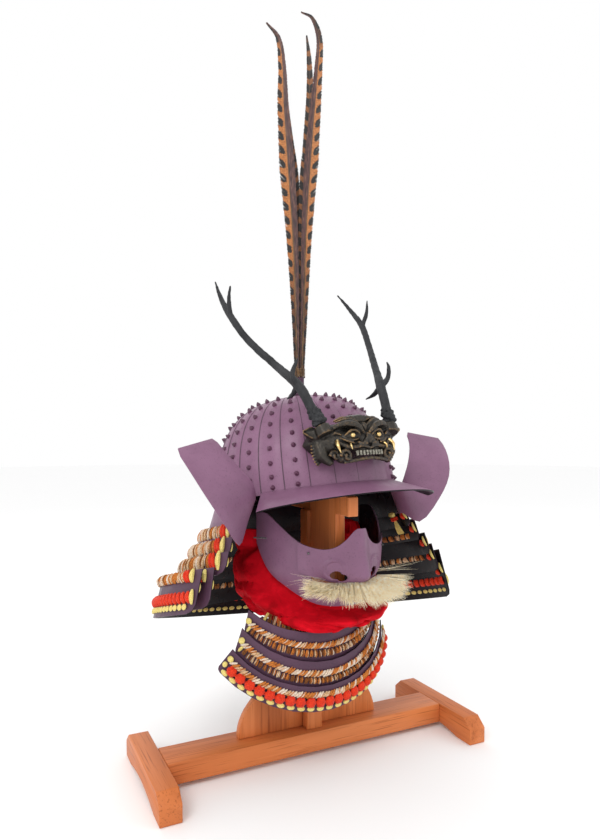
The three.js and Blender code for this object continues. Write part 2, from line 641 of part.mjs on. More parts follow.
// The inner face of the mask.
function maskFace(angle, z, grow = 0) {
  const halfWidth = fromTable(MASK_SECTIONS, 'z', z, 'halfWidth') + grow;
  const halfDepth = fromTable(MASK_SECTIONS, 'z', z, 'halfDepth') + grow;
  const x = halfWidth * Math.sin(angle * DEG);
  const out = fromTable(NOSE_SECTIONS, 'z', z, 'out');
  const spread = fromTable(NOSE_SECTIONS, 'z', z, 'halfWidth');
  const nose = out * Math.exp(-((x / spread) ** 2));
  return vector([x, MASK_CENTRE_Y - halfDepth * Math.cos(angle * DEG) - nose, z]);
}

// The columns crowd together round the nose.
function easedAngle(u, end) {
  const side = 2 * u - 1;
  return end * Math.sign(side) * Math.abs(side) ** 1.4;
}

function cheekPlate() {
  const face = (u, v) => {
    const angle = easedAngle(u, MASK_END);
    const away = Math.abs(angle);
    const low = fromTable(MASK_LOWER_EDGE, 'angle', away, 'z');
    const eyeLine = fromTable(MASK_TOP_EDGE, 'angle', away, 'z');
    const share = THREE.MathUtils.smoothstep(away, NOSE_PLATE_END - 12, NOSE_PLATE_END - 3);
    return maskFace(angle, lerp(low, lerp(MOUTH_Z - LIP_DEPTH, eyeLine, share), v));
  };
  return bentPlate(face, MASK_WALL, 24, 4);
}

// The nose plate laps over the cheek plate. Its nostril slots are cut through.
function nosePlate() {
  const face = (u, v) => {
    const angle = easedAngle(u, NOSE_PLATE_END);
    const high = fromTable(MASK_TOP_EDGE, 'angle', Math.abs(angle), 'z');
    const low = MOUTH_Z - LIP_DEPTH + 1 + 0.006 * angle ** 2;
    return maskFace(angle, lerp(low, high, v));
  };
  let plate = toSolid(bentPlate(face, MASK_WALL, 14, 6, MASK_WALL + 3 * GAP));
  for (const side of [-1, 1]) {
    plate = plate.add(toSolid(ball([side * 25, -116, 277], [10, 4, 9])));
    plate = plate.subtract(toSolid(ball([side * 20, -124, 267], [7, 14, 4.5])));
  }
  return fromSolid(plate);
}
maskGroup.add(node('mask_cheeks', cheekPlate(), FINISH.lacquer));
maskGroup.add(node('mask_nose', nosePlate(), FINISH.lacquer));

// The hidden peg between the head board and the back of the mask.
kabuto.add(node('stand_mask_peg',
  new THREE.CylinderGeometry(REST_PEG_RADIUS, REST_PEG_RADIUS, REST_PEG_LENGTH, 12)
    .translate(0, BOARD_LOWER_FRONT_Y - GAP - REST_PEG_LENGTH / 2, REST_PEG_Z), FINISH.wood));

// Bristle moustache: locks fanning out from a short backing under the nose.
function moustache() {
  const pieces = [ball([0, -134, 253], [24, 6, 7])];
  for (const side of [-1, 1]) {
    for (let i = 0; i < LOCKS_A_SIDE; i++) {
      const share = i / (LOCKS_A_SIDE - 1);
      const tip = [side * lerp(80, 26, share), lerp(-122, -150, share), lerp(266, 234, share)];
      const root = [side * lerp(16, 7, share), -134, lerp(256, 251, share)];
      const middle = [(root[0] + tip[0]) / 2, (root[1] + tip[1]) / 2 - 5, (root[2] + tip[2]) / 2 + 3];
      pieces.push(bentRod([root, middle, tip], [4, 6.5, 1.2], 5, 3));
    }
  }
  return join(pieces);
}
maskGroup.add(node('moustache', moustache(), FINISH.bristle));

// ---------------------------------------------------------------- red collar and throat guard

// The collar comes down inside the mask, rolls out under its edge and hangs over the throat
// guard. Behind the mask's ends it stands up free.
function collar() {
  const inside = -CLOTH_THICKNESS - 7 * GAP;
  const face = (u, v) => {
    const angle = lerp(-CLOTH_END, CLOTH_END, u);
    const away = Math.abs(angle);
    const maskLow = fromTable(MASK_LOWER_EDGE, 'angle', away, 'z');
    const low = fromTable(CLOTH_LOWER_EDGE, 'angle', away, 'z');
    const roll = maskLow - ROLL_DROP;
    const z = v < 0.5 ? lerp(low, roll, v / 0.5) : lerp(roll, maskLow + ROLL_TUCK, (v - 0.5) / 0.5);
    const tucked = THREE.MathUtils.smoothstep(v, 0.38, 0.6);
    const free = THREE.MathUtils.smoothstep(away, MASK_END + 3, MASK_END + 12);
    const bulge = ROLL_BULGE * Math.sin(Math.min(1, v / 0.55) * Math.PI);
    const hanging = vector([
      CLOTH_CENTRE_X + (CLOTH_HALF_WIDTH + bulge) * Math.sin(angle * DEG),
      CLOTH_CENTRE_Y - (CLOTH_HALF_DEPTH + bulge) * Math.cos(angle * DEG),
      z]);
    return hanging.lerp(maskFace(angle, z, inside), tucked * (1 - free));
  };
  return bentPlate(face, CLOTH_THICKNESS, 28, 5);
}
maskGroup.add(node('red_collar', collar(), FINISH.velvet));

function throatEdge(edge, angle) {
  const towardsEnd = (1 - Math.cos(angle * DEG)) / (1 - Math.cos(THROAT_END * DEG));
  return vector([edge.width * Math.sin(angle * DEG), edge.centre - edge.depth * Math.cos(angle * DEG),
    lerp(edge.front, edge.ends, towardsEnd)]);
}

function throatStrip(lame, from, to, thickness, lift) {
  const edgeAt = (edge, angle) => throatEdge(lame[edge], angle);
  return lameStrip(edgeAt, THROAT_END, from, to, LAME_CORNER / 2, thickness, THROAT_COLUMNS, lift);
}
THROAT_LAMES.forEach((lame, i) => {
  const strip = throatStrip(lame, 0, 1, THROAT_WALL, -THROAT_WALL);
  throatGroup.add(node(`throat_lame_${i + 1}`, strip, FINISH.lame));
});
for (const row of THROAT_LACING) {
  const strip = throatStrip(THROAT_LAMES[row.lame], row.from, row.to, row.thickness, 4 * GAP);
  throatGroup.add(node(row.name, strip, { color: row.colour, roughness: 0.8, metalness: 0 }));
}

// ---------------------------------------------------------------- plume

const SOCKET_PROFILE = [
  [0, 0], [9, 0], [9, 14], [6.5, 17], [6.5, SOCKET_HEIGHT], [0, SOCKET_HEIGHT],
].map(([radius, z]) => new THREE.Vector2(radius, z));

function feather(row) {
  const shaft = new THREE.CatmullRomCurve3(
    row.shaft.map((place) => new THREE.Vector3(place.x, row.depth, place.z)));
  const face = (u, v) => {
    const tangent = shaft.getTangentAt(v);
    const width = row.width * fromTable(VANE, 'along', v, 'width');
    const aside = new THREE.Vector3(tangent.z, 0, -tangent.x).multiplyScalar((u - 0.5) * width);
    return shaft.getPointAt(v).add(aside);
  };
  return bentPlate(face, FEATHER_THICKNESS, 1, 13);
}

// The feathers are bound into the socket, whose foot is fitted to the bowl's crown.
function plumeBody() {
  const place = new THREE.Matrix4()
    .makeRotationZ(PLUME_TURN * DEG)
    .setPosition(PLUME_SEAT.x, PLUME_SEAT.y, PLUME_SEAT.z);
  const socket = new THREE.LatheGeometry(SOCKET_PROFILE, 12).rotateX(Math.PI / 2);
  const plume = join([socket, ...FEATHERS.map(feather)]).applyMatrix4(place);
  const crown = bowlRoom(PLATE_LAP + GAP).applyMatrix4(helmet.matrix);
  return fromSolid(toSolid(plume).subtract(toSolid(crown)));
}
kabuto.add(node('plume', plumeBody(), FINISH.feather));

export default kabuto;
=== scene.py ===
# Kabuto on its wooden stand: riveted bowl, laced neck guard, wings, crest with antlers, plume,
# face mask and throat guard. Metres, +Z up; tables that repeat the part's sizes are in millimetres.
import math
import random

import bmesh
import bpy
import numpy as np
from mathutils import Matrix, Vector, noise


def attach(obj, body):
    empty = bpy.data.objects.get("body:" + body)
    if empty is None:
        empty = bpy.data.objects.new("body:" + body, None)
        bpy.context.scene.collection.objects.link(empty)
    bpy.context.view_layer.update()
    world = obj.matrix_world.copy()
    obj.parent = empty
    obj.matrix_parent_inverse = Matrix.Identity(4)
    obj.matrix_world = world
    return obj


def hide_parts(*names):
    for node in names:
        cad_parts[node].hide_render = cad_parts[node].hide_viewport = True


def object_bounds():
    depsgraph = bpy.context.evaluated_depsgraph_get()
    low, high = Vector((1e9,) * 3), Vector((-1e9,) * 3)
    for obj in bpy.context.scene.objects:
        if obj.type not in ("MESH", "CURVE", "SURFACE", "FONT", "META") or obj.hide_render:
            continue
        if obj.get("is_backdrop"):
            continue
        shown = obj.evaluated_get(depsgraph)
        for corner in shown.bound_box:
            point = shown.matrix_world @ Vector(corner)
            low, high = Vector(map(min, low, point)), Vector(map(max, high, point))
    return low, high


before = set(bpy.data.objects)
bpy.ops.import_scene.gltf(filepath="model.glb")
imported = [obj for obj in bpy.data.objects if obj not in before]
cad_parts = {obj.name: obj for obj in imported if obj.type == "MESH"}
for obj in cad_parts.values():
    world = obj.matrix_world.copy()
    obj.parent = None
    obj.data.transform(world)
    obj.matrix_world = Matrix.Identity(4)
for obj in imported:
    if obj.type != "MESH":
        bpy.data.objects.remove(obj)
packed_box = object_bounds()

# ---------------------------------------------------------------- camera, floor and light

# The camera stands low in front of the wearer's right, and looks almost level at the helmet.


def shown(name, data):
    """A new object in the scene from its data."""
    made = bpy.data.objects.new(name, data)
    bpy.context.collection.objects.link(made)
    return made


def finish(name, roughness, **sockets):
    """A new finish. Other keywords set sockets of its shader, with _ for a space."""
    made = bpy.data.materials.new(name)
    made.use_nodes = True
    shader = made.node_tree.nodes["Principled BSDF"]
    shader.inputs["Roughness"].default_value = roughness
    for socket, value in sockets.items():
        shader.inputs[socket.replace("_", " ")].default_value = value
    return made


camera_data = bpy.data.cameras.new("camera")
camera_data.lens = 28.03
camera_data.sensor_width = 36.0
camera_data.shift_x = -0.0107
camera_data.shift_y = 0.0539
camera_data.clip_start = 0.05
camera = shown("camera", camera_data)
camera.location = (-0.40168, -0.83828, 0.44233)
camera_turn = math.radians(-26.362)
camera_rise = math.radians(2.6825)
towards_camera = Vector((
    math.sin(camera_turn) * math.cos(camera_rise),
    -math.cos(camera_turn) * math.cos(camera_rise),
    math.sin(camera_rise)))
camera.rotation_mode = "QUATERNION"
camera.rotation_quaternion = (-towards_camera).to_track_quat("-Z", "Y")
bpy.context.scene.camera = camera

floor_form = bmesh.new()
bmesh.ops.create_circle(floor_form, cap_ends=True, radius=9.0, segments=96)
bmesh.ops.translate(floor_form, verts=floor_form.verts, vec=(0, 0, -0.0004))
floor_mesh = bpy.data.meshes.new("floor")
floor_form.to_mesh(floor_mesh)
floor_form.free()
floor_mesh.materials.append(
    finish("pale_floor", 0.9, Base_Color=(0.97, 0.97, 0.97, 1), Specular_IOR_Level=0.1))
floor = shown("floor", floor_mesh)
floor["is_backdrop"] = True

world = bpy.data.worlds.new("studio")
world.use_nodes = True
world.node_tree.nodes["Background"].inputs["Color"].default_value = (1.0, 1.0, 1.0, 1)
world.node_tree.nodes["Background"].inputs["Strength"].default_value = 1.0
bpy.context.scene.world = world
bpy.context.scene.view_settings.view_transform = "Standard"
LIT_POINT = Vector((0, 0, 0.4))


def soft_light(name, place, size, watts):
    """A square studio softbox that faces the helmet."""
    data = bpy.data.lights.new(name, "AREA")
    data.shape = "SQUARE"
    data.size = size
    data.energy = watts
    light = shown(name, data)
    light.location = place
    light.rotation_mode = "QUATERNION"
    light.rotation_quaternion = (LIT_POINT - Vector(place)).to_track_quat("-Z", "Y")


soft_light("key", (-1.5, -1.3, 2.0), 1.0, 20)
soft_light("fill", (1.6, -1.6, 1.2), 1.6, 3)
soft_light("back", (0.4, 1.8, 1.8), 1.6, 6)

# ---------------------------------------------------------------- wooden stand

# Plain mahogany-coloured boards: two arched feet, a crossbar, a post with two quarter-round
# braces, and the head board that carries the bowl. Sawn, sanded, glued and oiled.
MM = 0.001


def add_node(made, kind, values=(), **settings):
    """A shader node, with values for its inputs by name."""
    made_node = made.node_tree.nodes.new("ShaderNode" + kind)
    for key, value in settings.items():
        setattr(made_node, key, value)
    for key, value in dict(values).items():
        made_node.inputs[key].default_value = value
    return made_node


def cloudy(made, scale, stretch=(1, 1, 1), detail=5.0, distortion=0.0, source="Object"):
    """A noise over the surface, as a 0 to 1 output."""
    links = made.node_tree.links
    place = add_node(made, "TexCoord")
    mapping = add_node(made, "Mapping", {"Scale": stretch})
    cloud = add_node(made, "TexNoise", {
        "Scale": scale, "Detail": detail, "Distortion": distortion, "Roughness": 0.55})
    links.new(place.outputs[source], mapping.inputs["Vector"])
    links.new(mapping.outputs["Vector"], cloud.inputs["Vector"])
    return cloud.outputs["Fac"]


def ramp(made, factor, stops):
    """Colours by a 0 to 1 factor: stops are (place, (red, green, blue))."""
    band = add_node(made, "ValToRGB")
    band.color_ramp.interpolation = "EASE"
    elements = band.color_ramp.elements
    while len(elements) < len(stops):
        elements.new(0.5)
    for element, (place, colour) in zip(elements, stops):
        element.position = place
        element.color = (*colour, 1)
    made.node_tree.links.new(factor, band.inputs["Fac"])
    return band.outputs["Color"]


def to_shader(made, output, socket):
    made.node_tree.links.new(output, made.node_tree.nodes["Principled BSDF"].inputs[socket])


def coloured(made, factor, stops, socket="Base Color"):
    """Sets a socket of the shader by a 0 to 1 factor."""
    to_shader(made, ramp(made, factor, stops), socket)


def relief(made, height, strength, depth):
    """Bump from a height, depth in metres."""
    bump = add_node(made, "Bump", {"Strength": strength, "Distance": depth})
    made.node_tree.links.new(height, bump.inputs["Height"])
    to_shader(made, bump.outputs["Normal"], "Normal")


def mix(made, factor, first, second, blend="MIX"):
    """Two colours mixed by a factor. Each may be an output or a plain colour."""
    mixer = add_node(made, "Mix", data_type="RGBA", blend_type=blend)
    links = made.node_tree.links
    for value, socket in ((factor, 0), (first, 6), (second, 7)):
        if isinstance(value, bpy.types.NodeSocket):
            links.new(value, mixer.inputs[socket])
        elif socket == 0:
            mixer.inputs[0].default_value = value
        else:
            mixer.inputs[socket].default_value = (*value, 1)
    return mixer.outputs[2]


def math_node(made, operation, *values):
    made_node = add_node(made, "Math", operation=operation)
    for i, value in enumerate(values):
        if isinstance(value, bpy.types.NodeSocket):
            made.node_tree.links.new(value, made_node.inputs[i])
        else:
            made_node.inputs[i].default_value = value
    return made_node.outputs[0]


def wood_finish(name, along):
    """Oiled reddish wood with its grain running along one axis."""
    made = finish(name, 0.42, Specular_IOR_Level=0.25)
    figure_stretch, pore_stretch = [70.0] * 3, [900.0] * 3
    figure_stretch["XYZ".index(along)] = 3.0
    pore_stretch["XYZ".index(along)] = 22.0
    figure = cloudy(made, 0.35, figure_stretch, 4.0, 0.6)
    colour = ramp(made, figure, [
        (0.25, (0.42, 0.110, 0.030)), (0.48, (0.60, 0.175, 0.050)), (0.60, (0.68, 0.215, 0.068)),
        (0.78, (0.50, 0.140, 0.040))])
    pores = cloudy(made, 0.6, pore_stretch, 3.0)
    dark = ramp(made, pores, [(0.30, (0.55, 0.45, 0.40)), (0.46, (1.0, 1.0, 1.0))])
    to_shader(made, mix(made, 0.8, colour, dark, "MULTIPLY"), "Base Color")
    coloured(made, figure, [(0.2, (0.50,) * 3), (0.8, (0.36,) * 3)], "Roughness")
    relief(made, pores, 0.25, 0.0004)
    return made


def merged_copy(node):
    """A CAD node's form with its corners joined."""
    form = bmesh.new()
    form.from_mesh(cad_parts[node].data)
    bmesh.ops.remove_doubles(form, verts=form.verts, dist=0.00002)
    return form


def piece(name, form, finishes, replaced=(), crease=40):
    """A finished piece from its form: shaded smooth up to a crease angle, and fixed to the body."""
    mesh = bpy.data.meshes.new(name)
    form.to_mesh(mesh)
    form.free()
    mesh.shade_smooth()
    mesh.set_sharp_from_angle(angle=math.radians(crease))
    for made in finishes:
        mesh.materials.append(made)
    made_piece = shown(name, mesh)
    if replaced:
        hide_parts(*replaced)
    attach(made_piece, "root")
    return made_piece


def ease_edges(form, width, angle=30.0, segments=2):
    """Rounds the sharp edges of a form."""
    sharp = [e for e in form.edges if len(e.link_faces) == 2
             and e.calc_face_angle(0.0) > math.radians(angle)]
    bmesh.ops.bevel(form, geom=sharp, offset=width, offset_type="OFFSET", segments=segments,
                    profile=0.5, affect="EDGES", clamp_overlap=True, material=-1)


WOOD_GRAIN = {
    "stand_foot_right": "Y", "stand_foot_left": "Y", "stand_crossbar": "X",
    "stand_bracket_right": "Z", "stand_bracket_left": "Z", "stand_post": "Z",
    "stand_head_board": "Z", "stand_mask_peg": "Y"}
SAWN_EDGE = 0.0012
wood = {axis: wood_finish("oiled_wood_along_" + axis.lower(), axis) for axis in "XYZ"}
for board, grain_axis in WOOD_GRAIN.items():
    board_form = merged_copy(board)
    bmesh.ops.dissolve_limit(board_form, angle_limit=math.radians(1.0), verts=board_form.verts,
                             edges=board_form.edges)
    ease_edges(board_form, SAWN_EDGE)
    piece(board + "_planed", board_form, [wood[grain_axis]], [board], 35)

# ---------------------------------------------------------------- bowl

# Twenty-four lapped iron plates under plum lacquer, drawn together at the crown, with a column
# of pointed rivets up the middle of each. The inside is black lacquer.
HELMET = (Matrix.Scale(MM, 4) @ Matrix.Translation((0, -20.9, 358.3))
          @ Matrix.Rotation(math.radians(7), 4, "Z") @ Matrix.Rotation(math.radians(-1.45), 4, "Y")
          @ Matrix.Rotation(math.radians(-11.4), 4, "X"))
BOWL_HALF_WIDTH = 121.2
BOWL_HALF_DEPTH = 123.2
BOWL_HEIGHT = 134.5
BOWL_WALL = 2.5
BOWL_SIDE_POWER = 3.04
BOWL_CROWN_POWER = 2.24
PLATES = 24
PLATE_LAP = 0.9
LAP_FADES_WITHIN = 30
LAP_STEPS = (0.0, 0.31, 0.64, 0.957)
SEAM_FROM = 0.955
BOWL_ROWS = 26
RIVET_HEIGHTS = (7, 20, 37, 56, 72, 88, 103, 116, 125.5)


def lacquer_finish(name, light, dark, roughness, gloss=0.4):
    """Satin lacquer over iron: faint clouds, small flaws and a soft sheen."""
    made = finish(name, roughness, Specular_IOR_Level=gloss)
    clouds = cloudy(made, 18.0, detail=7.0)
    colour = ramp(made, clouds, [(0.3, dark), (0.7, light)])
    specks = ramp(made, cloudy(made, 420.0, detail=2.0), [(0.30, (0.82,) * 3), (0.42, (1.0,) * 3)])
    to_shader(made, mix(made, 1.0, colour, specks, "MULTIPLY"), "Base Color")
    coloured(made, cloudy(made, 60.0), [
        (0.3, (roughness - 0.06,) * 3), (0.7, (roughness + 0.08,) * 3)], "Roughness")
    relief(made, cloudy(made, 260.0, detail=3.0), 0.10, 0.0004)
    return made


plum = lacquer_finish("plum_lacquer", (0.245, 0.116, 0.198), (0.195, 0.088, 0.155), 0.44)
black = lacquer_finish("black_lacquer", (0.010, 0.007, 0.010), (0.005, 0.003, 0.005), 0.30, 0.12)
# Painted shadow: a dark plum line for the lapped edges of the bowl plates and the cut edges of the mask
# plates, where a raised edge casts a thin shadow.
seam = finish("seam_shadow", 0.7)
coloured(seam, cloudy(seam, 90.0), [(0.3, (0.060, 0.028, 0.048)), (0.7, (0.10, 0.048, 0.080))])


def bowl_profile(inset):
    """Points of the wall from the rim to the crown, in the XZ plane, in millimetres."""
    points = []
    for i in range(BOWL_ROWS, -1, -1):
        share = math.sin(i / BOWL_ROWS * math.pi / 2)
        height = (BOWL_HEIGHT - inset) * max(0.0, 1 - share ** BOWL_SIDE_POWER) ** (1 / BOWL_CROWN_POWER)
        points.append((share * (BOWL_HALF_WIDTH - inset), height))
    return points


def plate_share(angle):
    """The plate that an angle from the front falls in, and how far across it."""
    place = (angle / (2 * math.pi) * PLATES) % PLATES
    return math.floor(place + 1e-4), max(0.0, place - math.floor(place + 1e-4))


bowl_form = bmesh.new()
outer_profile = bowl_profile(0)
inner_profile = bowl_profile(BOWL_WALL)[::-1]
profile_verts = [bowl_form.verts.new((0, -r, z)) for r, z in inner_profile + outer_profile]
profile_edges = [bowl_form.edges.new(pair) for pair in zip(profile_verts, profile_verts[1:])]
bmesh.ops.spin(bowl_form, geom=profile_verts + profile_edges, cent=(0, 0, 0), axis=(0, 0, 1),
               angle=2 * math.pi, steps=len(LAP_STEPS) * PLATES, use_merge=True)
bmesh.ops.remove_doubles(bowl_form, verts=bowl_form.verts, dist=0.01)
for vert in bowl_form.verts:
    flat = math.hypot(vert.co.x, vert.co.y)
    if flat < 0.5:
        continue
    angle = math.atan2(vert.co.x, -vert.co.y) % (2 * math.pi)
    plate, across = plate_share(angle)
    is_outer = vert.co.z > -0.1 and not any(
        abs(flat - r) < 0.02 and abs(vert.co.z - z) < 0.02 for r, z in inner_profile)
    moved = LAP_STEPS[round(across * len(LAP_STEPS)) % len(LAP_STEPS)]
    new_angle = (plate + moved) / PLATES * 2 * math.pi
    radius = flat + (PLATE_LAP * moved * min(1.0, flat / LAP_FADES_WITHIN) if is_outer else 0.0)
    vert.co.x = radius * math.sin(new_angle)
    vert.co.y = -radius * math.cos(new_angle) * BOWL_HALF_DEPTH / BOWL_HALF_WIDTH
bmesh.ops.recalc_face_normals(bowl_form, faces=bowl_form.faces)
for face in bowl_form.faces:
    middle = face.calc_center_median()
    outward = face.normal.dot(Vector((middle.x, middle.y, 40.0)))
    angle = math.atan2(middle.x, -middle.y * BOWL_HALF_WIDTH / BOWL_HALF_DEPTH) % (2 * math.pi)
    if outward < 0 or middle.z < 0.05:
        face.material_index = 1
    # The strip of each plate where it laps the next takes the painted seam shadow.
    elif plate_share(angle)[1] > SEAM_FROM and math.hypot(middle.x, middle.y) > 8:
        face.material_index = 2
bmesh.ops.transform(bowl_form, matrix=HELMET, verts=bowl_form.verts)
piece("bowl_plates", bowl_form, [plum, black, seam], ["bowl"], 50)


def scattered(name, templates, places, finishes, replaced=(), crease=60):
    """Many copies of small forms as one piece. Each place is (template name, finish number, matrix)."""
    ready = {}
    for key, form in templates.items():
        form.verts.ensure_lookup_table()
        ready[key] = (np.array([v.co[:] + (1.0,) for v in form.verts]),
                      [[v.index for v in f.verts] for f in form.faces],
                      [f.material_index for f in form.faces])
    points, faces, numbers = [], [], []
    count = 0
    for key, number, matrix in places:
        corners, sides, own = ready[key]
        points.append((corners @ np.array(matrix).T)[:, :3])
        faces.extend([[count + i for i in side] for side in sides])
        numbers.extend([number + extra for extra in own])
        count += len(corners)
    mesh = bpy.data.meshes.new(name)
    mesh.from_pydata(np.concatenate(points).tolist(), [], faces)
    mesh.polygons.foreach_set("material_index", numbers)
    form = bmesh.new()
    form.from_mesh(mesh)
    bpy.data.meshes.remove(mesh)
    return piece(name, form, finishes, replaced, crease)


def bowl_height(x, y):
    out = math.hypot(x / BOWL_HALF_WIDTH, y / BOWL_HALF_DEPTH)
    return BOWL_HEIGHT * max(0.0, 1 - out ** BOWL_SIDE_POWER) ** (1 / BOWL_CROWN_POWER)


def upright(point, normal):
    """A matrix that stands a form's Z along a normal, with its X as near as may be to upwards."""
    z = normal.normalized()
    x = Vector((0, 0, 1)) - z * z.z
    x = x.normalized() if x.length > 1e-6 else z.orthogonal().normalized()
    y = z.cross(x)
    return Matrix.Translation(point) @ Matrix((x, y, z)).transposed().to_4x4()


RIVET_RADIUS = 3.15
RIVET_TAPER_FROM = 1.5
RIVET_LIFT = 0.6
RIM_RIVETS_BELOW = 10
SLOPE_STEP = 0.5
# Half angle from the front and height within which the peak and the crest cover the plates.
COVERED = ((32, 30), (15, 50))
rivet = bmesh.new()
bmesh.ops.create_uvsphere(rivet, u_segments=12, v_segments=8, radius=RIVET_RADIUS)
for vert in rivet.verts:
    vert.co.z *= 1.25 if vert.co.z < 0 else 1.55
    if vert.co.z > RIVET_TAPER_FROM:
        narrow = 1 - 0.42 * (vert.co.z - RIVET_TAPER_FROM) / 3.0
        vert.co.x *= narrow
        vert.co.y *= narrow
rivet_finish = lacquer_finish("rivet_lacquer", (0.125, 0.046, 0.088), (0.085, 0.030, 0.060), 0.32)
rivet_places = []
for plate in range(PLATES):
    angle = (plate + 0.5) / PLATES * 360
    from_front = min(angle, 360 - angle)
    for height in RIVET_HEIGHTS:
        if any(from_front < half_angle and height < top for half_angle, top in COVERED):
            continue
        share = (1 - (height / BOWL_HEIGHT) ** BOWL_CROWN_POWER) ** (1 / BOWL_SIDE_POWER)
        turn = math.radians(angle)
        x = share * BOWL_HALF_WIDTH * math.sin(turn)
        y = -share * BOWL_HALF_DEPTH * math.cos(turn)
        slope = Vector((
            bowl_height(x - SLOPE_STEP, y) - bowl_height(x + SLOPE_STEP, y),
            bowl_height(x, y - SLOPE_STEP) - bowl_height(x, y + SLOPE_STEP), 2 * SLOPE_STEP))
        if height < RIM_RIVETS_BELOW:
            slope = Vector((x, y, 3.0))
        normal = slope.normalized()
        foot = Vector((x, y, height)) + normal * RIVET_LIFT
        rivet_places.append(("rivet", 0, HELMET @ upright(foot, normal)))
scattered("bowl_rivets", {"rivet": rivet}, rivet_places, [rivet_finish])
rivet.free()

# ---------------------------------------------------------------- peak and wings

# Sheet plates in the same plum lacquer: the peak is flanged and riveted on at the brow, and the
# wings are the top lame's ends, folded forward and swept back. The peak's underside is black.


def two_faced(node, name, is_inner, finishes, edge=0.0005, crease=40):
    """A plate piece from a CAD node, with another finish on its inner face."""
    form = merged_copy(node)
    bmesh.ops.join_triangles(form, faces=form.faces, angle_face_threshold=math.radians(25),
                             angle_shape_threshold=math.radians(60), cmp_seam=False, cmp_sharp=False,
                             cmp_uvs=False, cmp_vcols=False, cmp_materials=False)
    ease_edges(form, edge, 50.0)
    form.normal_update()
    for face in form.faces:
        face.material_index = 1 if is_inner(face.calc_center_median(), face.normal) else 0
    return piece(name, form, finishes, [node], crease)


two_faced("peak", "peak_plate",
          lambda centre, normal: (HELMET.to_3x3().inverted() @ normal).z < -0.05, [plum, black])
for side_name in ("right", "left"):
    wing_form = merged_copy("wing_" + side_name)
    ease_edges(wing_form, 0.0005, 50.0)
    piece("wing_plate_" + side_name, wing_form, [plum], ["wing_" + side_name], 40)

# ---------------------------------------------------------------- neck guard lames

# Six plum iron lames hang below one another round the back, the lower four a darker plum, each with
# a thin black lacquered border and a black inside. The lacing carries them.


def leans_in(matrix):
    """Tells whether a face looks towards the axis of a frame."""
    back = matrix.inverted()

    def inner(centre, normal):
        here = back @ centre
        way = back.to_3x3() @ normal
        return way.dot(Vector((here.x, here.y, 0)).normalized()) < 0.25 * way.length
    return inner


dark_plum = lacquer_finish("dark_plum_lacquer", (0.098, 0.045, 0.080), (0.074, 0.033, 0.060), 0.42, 0.3)
for lame in range(1, 7):
    two_faced(f"neck_lame_{lame}", f"neck_plate_{lame}",
              leans_in(HELMET), [plum if lame < 3 else dark_plum, black], 0.0004, 35)

# ---------------------------------------------------------------- neck guard lacing

# Rows of stout silk loops in cream, orange, brown and white hold each lame to the one above.
# Every row ends in a red loop and a yellow one, and the hem has red bindings and yellow discs.
NECK_EDGES = [
    # end, then width, depth, centre, height, back and side of the top and of the bottom edge
    (106, (124.8, 127, 0, 4, 0, 0), (141, 144, 8, -42, 0.02, 0.005)),
    (111, (144, 148, 7, -31, 0.01, 0.01), (154, 158, 11, -59, 0.03, 0.02)),
    (112, (157, 161, 10, -50, 0.03, 0.02), (167, 170, 15, -79, 0.04, 0.035)),
    (114, (171, 173, 14, -70, 0.04, 0.035), (180, 182, 19, -99, 0.05, 0.05)),
    (111, (186, 187, 18, -87, 0.05, 0.035), (198, 196, 25, -131, 0.065, 0.02)),
    (110, (200, 197, 20, -92, 0.05, 0.06), (216, 206, 28, -153, 0.073, 0.11))]


def neck_point(lame, angle, share):
    """A place on a lame's outer face, by angle from the back and share of its height."""
    ends = []
    for width, depth, centre, height, back, side in (NECK_EDGES[lame][2], NECK_EDGES[lame][1]):
        x = width * math.sin(math.radians(angle))
        y = centre + depth * math.cos(math.radians(angle))
        ends.append(Vector((x, y, height - back * y - side * x)))
    return HELMET @ ends[0].lerp(ends[1], share)


def seat(point_at, lame, angle, share, lift, outward=1.0):
    """A matrix on a lame: X along the row, Y up the lame, Z away from it, lifted in millimetres."""
    point = point_at(lame, angle, share)
    along = (point_at(lame, angle + 0.5, share) - point_at(lame, angle - 0.5, share)).normalized()
    up = (point_at(lame, angle, share + 0.02) - point_at(lame, angle, share - 0.02)).normalized()
    away = along.cross(up).normalized()
    axis = point_at(lame, angle, share) - point_at(lame, angle + 180, share)
    if away.dot(Vector((axis.x, axis.y, 0))) < 0:
        along, away = -along, -away
    if outward < 0:
        along, away = -along, -away
    up = away.cross(along)
    turn = Matrix((along, up, away)).transposed().to_4x4()
    return Matrix.Translation(point + away * lift * MM) @ turn @ Matrix.Scale(MM, 4)


def row_angles(point_at, lame, end, share, pitch, clear):
    """Angles of places a pitch apart along a row, in millimetres, clear of both its ends."""
    steps = [i * 0.25 for i in range(int(-4 * end), int(4 * end) + 1)]
    length, marks = 0.0, [0.0]
    for a, b in zip(steps, steps[1:]):
        length += (point_at(lame, b, share) - point_at(lame, a, share)).length / MM
        marks.append(length)
    count = max(1, round((length - 2 * clear) / pitch))
    found = []
    for k in range(count + 1):
        want = clear + (length - 2 * clear) * k / count
        i = next(i for i, mark in enumerate(marks) if mark >= want - 1e-6)
        found.append(steps[i])
    return found


def silk(name, colour, shade, fuzz):
    """Twisted silk: fine slanting threads, a soft sheen, and painted shade that darkens the grooves
    between them.
    """
    made = finish(name, 0.62, Sheen_Weight=fuzz, Sheen_Roughness=0.4, Specular_IOR_Level=0.2)
    threads = cloudy(made, 1.0, (900, 900, 1500), 2.0, 0.3)
    # Painted shade: where the thread pattern is low, in the grooves the bump sinks, the colour turns to
    # the darker shade.
    coloured(made, threads, [(0.36, shade), (0.60, colour)])
    relief(made, threads, 0.7, 0.0010)
    return made


